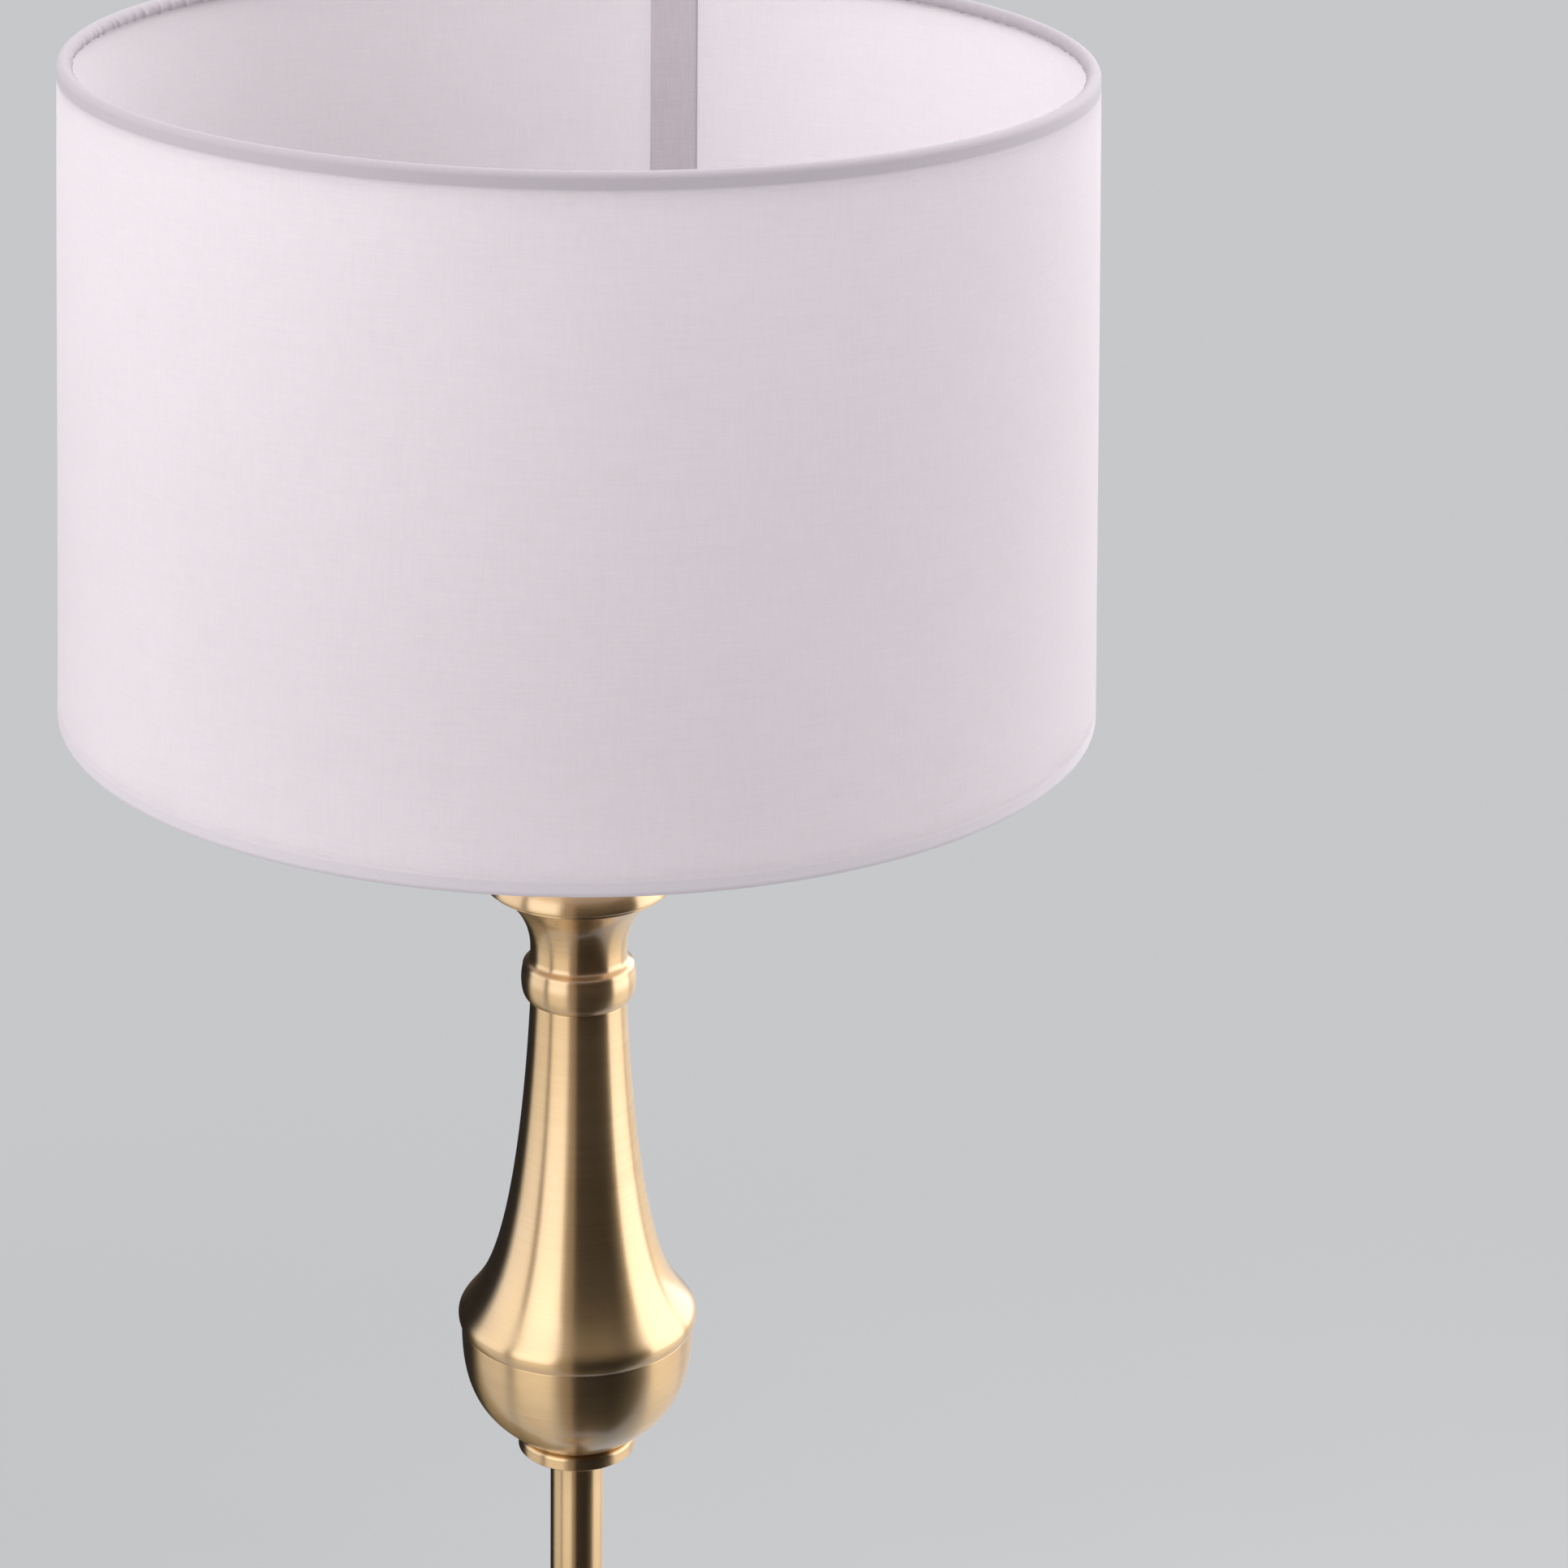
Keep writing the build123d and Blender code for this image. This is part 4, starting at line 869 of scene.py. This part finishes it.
ARM_TURNS = (90, 210, 330)
WELD_LONG, WELD_WIDE, WELD_DEEP = 2.4, 1.15, 0.95
WELD_RADIUS = 28.0            # from the lamp's axis to the middle of a bead
WELD_ASIDE, WELD_UNDER = 1.9, 0.7     # beside the middle of the arm, and below the fitter
WELD_SLOPE = 0.06             # it falls with the arm on the way out
WELD_AROUND, WELD_ALONG = 12, 16
SCALES, SCALE_DEEP = 7, 0.1
END_THICK = 0.01
fitter_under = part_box("fitter_ring")[0].z / mm
weld_points, weld_faces = [], []
for arm_turn in ARM_TURNS:
    arm = radians(arm_turn)
    for side in (-1, 1):
        first = len(weld_points)
        for step in range(WELD_ALONG + 1):
            along = -cos(pi * step / WELD_ALONG)
            # the bead is a row of small overlapping scales, thin at both ends
            scales = 1 + SCALE_DEEP * sin(SCALES * pi * along + side)
            swell = sqrt(max(0.0, 1 - along * along)) * scales + END_THICK
            out = WELD_RADIUS + along * WELD_LONG
            middle = fitter_under - WELD_UNDER - WELD_SLOPE * along * WELD_LONG
            for spoke in range(WELD_AROUND):
                turn = 2 * pi * spoke / WELD_AROUND
                aside = side * WELD_ASIDE + swell * WELD_WIDE * cos(turn)
                height = middle + swell * WELD_DEEP * sin(turn)
                weld_points.append(((out * cos(arm) - aside * sin(arm)) * mm,
                                    (out * sin(arm) + aside * cos(arm)) * mm, height * mm))
        for step in range(WELD_ALONG):
            for spoke in range(WELD_AROUND):
                here, beside = first + step * WELD_AROUND, (spoke + 1) % WELD_AROUND
                weld_faces.append((here + spoke, here + beside, here + WELD_AROUND + beside,
                                   here + WELD_AROUND + spoke))
        last = first + WELD_ALONG * WELD_AROUND
        weld_faces += [tuple(range(first + WELD_AROUND - 1, first - 1, -1)),
                       tuple(range(last, last + WELD_AROUND))]
arm_welds = place("arm_welds", weld_points, weld_faces, white_wire)
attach(arm_welds, "shade")

# ----------------------------------------------------------------------------
# Inside and under the lamp: zinc-plated rod, nuts, washers and stud, the cast-iron weight, the black
# plate that closes the base, the rubber feet with their screws, and the bush at the cable outlet.
# ----------------------------------------------------------------------------

zinc_steel = brushed_metal("zinc_steel", (190, 192, 194), (150, 153, 156), 0.38, 0.02 * mm)
coat(zinc_steel, "base_washer", "base_nut", "base_nipple", "coupler_stud", "threaded_rod", "rod_washer",
     "rod_nut")

SCREW_HEAD, HEAD_TALL, HEAD_ROUND, SCREW_SHANK = 3.8, 2.2, 0.8, 2.0
FACE_STEP, FACE_STEPS = 0.14, 22
RECESS_REACH, RECESS_WIDE, RECESS_DEEP = 2.1, 0.42, 1.3
RECESS_EDGE, RECESS_SLOPE = 0.15, 0.7      # the widths of its side walls and of its sloping ends


def cross_recess(angle, radius, height):
    """The driver's recess in a screw's face: two slots that cross, deepest in the middle."""
    on_face = height <= 0.01
    if not on_face or radius > RECESS_REACH:
        return radius, height
    aside = min(abs(radius * sin(angle)), abs(radius * cos(angle)))
    slot = min(1.0, max(0.0, (RECESS_WIDE - aside) / RECESS_EDGE + 0.5))
    return radius, height + RECESS_DEEP * slot * min(1.0, (RECESS_REACH - radius) / RECESS_SLOPE)


screw_low, screw_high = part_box("foot_screws")
screw_tall = (screw_high.z - screw_low.z) / mm
screw_profile = [(FACE_STEP * step, 0) for step in range(FACE_STEPS)]
screw_profile += arc((SCREW_HEAD - HEAD_ROUND, HEAD_ROUND), HEAD_ROUND, -90, 0, 6)
screw_profile += [(SCREW_HEAD, HEAD_TALL), (SCREW_SHANK, HEAD_TALL), (SCREW_SHANK, screw_tall),
                  (0, screw_tall)]
one_screw, one_faces = swept(screw_profile, screw_low.z, 72, closed=False, shape=cross_recess)
screw_out = screw_high.x - SCREW_HEAD * mm
screw_points, screw_faces = [], []
for corner, (side, back) in enumerate(((-1, -1), (1, -1), (1, 1), (-1, 1))):
    screw_points += [(x + side * screw_out, y + back * screw_out, z) for x, y, z in one_screw]
    screw_faces += [tuple(index + corner * len(one_screw) for index in face) for face in one_faces]
foot_screws = place("foot_screws_driven", screw_points, screw_faces, zinc_steel)
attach(foot_screws, "lamp")
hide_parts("foot_screws")
coat(moulded("cast_iron", (58, 58, 60), 0.75, 500, 0.3 * mm), "base_weight")
coat(moulded("black_plate", (32, 32, 34), 0.55, 800, 0.08 * mm), "bottom_plate")
coat(moulded("rubber", (28, 28, 28), 0.8, 700, 0.06 * mm, 6), "rubber_feet")
coat(moulded("bush_plastic", (30, 27, 25), 0.4, 500, spread=6), "cable_bush")

# ----------------------------------------------------------------------------
# Studio: a pale floor that runs out into a pale backdrop, dark cards, five soft lights and the camera.
# ----------------------------------------------------------------------------

STUDIO_TONE = (0.57, 0.575, 0.585, 1.0)
FLOOR_HALF = 60.0
SWEEP_START, SWEEP_REACH = 0.5, 2.0
BLACK = (0.0, 0.0, 0.0, 1.0)
floor_mesh = bpy.data.meshes.new("floor")
floor_mesh.from_pydata([(x, y, 0) for x, y in ((-1, -1), (1, -1), (1, 1), (-1, 1))], [], [(0, 1, 2, 3)])
floor_mesh.transform(Matrix.Scale(FLOOR_HALF, 4))
floor_finish = Finish("pale_floor")
floor_tone = floor_finish.speckle(3, 2.0, 0.5)
# round the lamp the floor takes its light and shadow; away from it, it runs out into the backdrop's tone
x, y = floor_finish.x, floor_finish.y
sweep = (((x * x + y * y) ** 0.5 - SWEEP_START) * (1 / SWEEP_REACH)).held()
sweep = sweep * sweep * (3.0 - sweep * 2.0)
floor_pale = floor_finish.blend(floor_tone, shade_of(174, 175, 177), shade_of(180, 181, 183))
floor_mesh.materials.append(floor_finish.surface(
    Base_Color=floor_finish.blend(sweep, floor_pale, BLACK),
    Roughness=0.9,
    Specular_IOR_Level=0.0,
    Emission_Color=floor_finish.blend(sweep, BLACK, STUDIO_TONE),
    Emission_Strength=1.0,
))
floor = bpy.data.objects.new("floor", floor_mesh)
scene.collection.objects.link(floor)

world = bpy.data.worlds.new("studio")
scene.world = world
world.use_nodes = True
world.node_tree.nodes["Background"].inputs["Color"].default_value = STUDIO_TONE

# Dark cards stand in a ring round the lamp, as they do for any turned metal in a studio, and draw its
# upright dark bands. They are there for reflections alone, and take no light from the lamp or the floor.
CARD_RING = 0.75
CARD_FOOT = 0.35
CARD_LOW, CARD_TALL = 0.002, 2.6
SPAN = 4                      # degrees, at most
# each card runs from one angle to another, in degrees from the front, and is black (0) or brown (1)
CARDS = ((-19, -5, 1), (-5, 70, 0), (-67.5, -63.5, 0), (-178, -112, 0))
card_points, card_faces, card_tones = [], [], []
for card_start, card_end, tone in CARDS:
    first = len(card_points)
    spans = ceil((card_end - card_start) / SPAN)
    for span in range(spans + 1):
        turn = radians(card_start + (card_end - card_start) * span / spans)
        for radius, height in ((CARD_FOOT, CARD_LOW), (CARD_RING, CARD_LOW), (CARD_RING, CARD_TALL)):
            card_points.append((sin(turn) * radius, -cos(turn) * radius, height))
    for span in range(spans):
        here = first + 3 * span
        card_faces += [(here, here + 3, here + 4, here + 1), (here + 1, here + 4, here + 5, here + 2)]
        card_tones += [tone, tone]
card_mesh = bpy.data.meshes.new("dark_cards")
card_mesh.from_pydata(card_points, [], card_faces)
card_mesh.polygons.foreach_set("material_index", card_tones)
card_mesh.materials.append(Finish("card_black").surface(Base_Color=shade_of(24, 22, 20), Roughness=1.0))
card_mesh.materials.append(Finish("card_brown").surface(Base_Color=shade_of(150, 140, 128), Roughness=1.0))
dark_cards = bpy.data.objects.new("dark_cards", card_mesh)
scene.collection.objects.link(dark_cards)
for ray in ("camera", "diffuse", "transmission", "shadow"):
    setattr(dark_cards, "visible_" + ray, False)


def softbox(name, turn, distance, height, width, tall, watts):
    """A large soft light, aimed at the lamp. Its turn is in degrees from the front, right positive."""
    target = Vector((0, 0, 1.25))
    data = bpy.data.lights.new(name, "AREA")
    data.shape = "RECTANGLE"
    data.size, data.size_y = width, tall
    data.energy = watts
    light = bpy.data.objects.new(name, data)
    spot = Vector((sin(radians(turn)) * distance, -cos(radians(turn)) * distance, height))
    light.location = spot
    light.rotation_euler = (target - spot).to_track_quat("-Z", "Y").to_euler()
    light.visible_camera = False
    scene.collection.objects.link(light)


softbox("front_left", -42, 2.6, 2.1, 2.0, 4.0, 44)
softbox("left", -89, 2.4, 2.1, 1.85, 4.0, 25)
softbox("right", 94, 2.1, 1.9, 1.9, 3.6, 42)
softbox("back_right", 139, 2.3, 2.3, 1.9, 3.6, 46)
softbox("above", 0, 0.05, 3.9, 3.0, 3.0, 26)

LENS = 96.6
EYE = Vector((0.0, -1.5343, 1.8767))
PITCH = radians(21.40)
YAW = radians(2.99)
TILT = radians(1.30)
look = Vector((sin(YAW) * cos(PITCH), cos(YAW) * cos(PITCH), -sin(PITCH)))
right = Vector((cos(YAW), -sin(YAW), 0))
up = right.cross(look)
across = cos(TILT) * right + sin(TILT) * up
upward = -sin(TILT) * right + cos(TILT) * up
camera_data = bpy.data.cameras.new("camera")
camera_data.lens = LENS
camera_data.sensor_width = 36.0
camera_data.clip_end = 100.0
camera = bpy.data.objects.new("camera", camera_data)
camera.matrix_world = Matrix.Translation(EYE) @ Matrix((across, upward, -look)).transposed().to_4x4()
scene.collection.objects.link(camera)
scene.camera = camera
scene.view_settings.view_transform = "Standard"
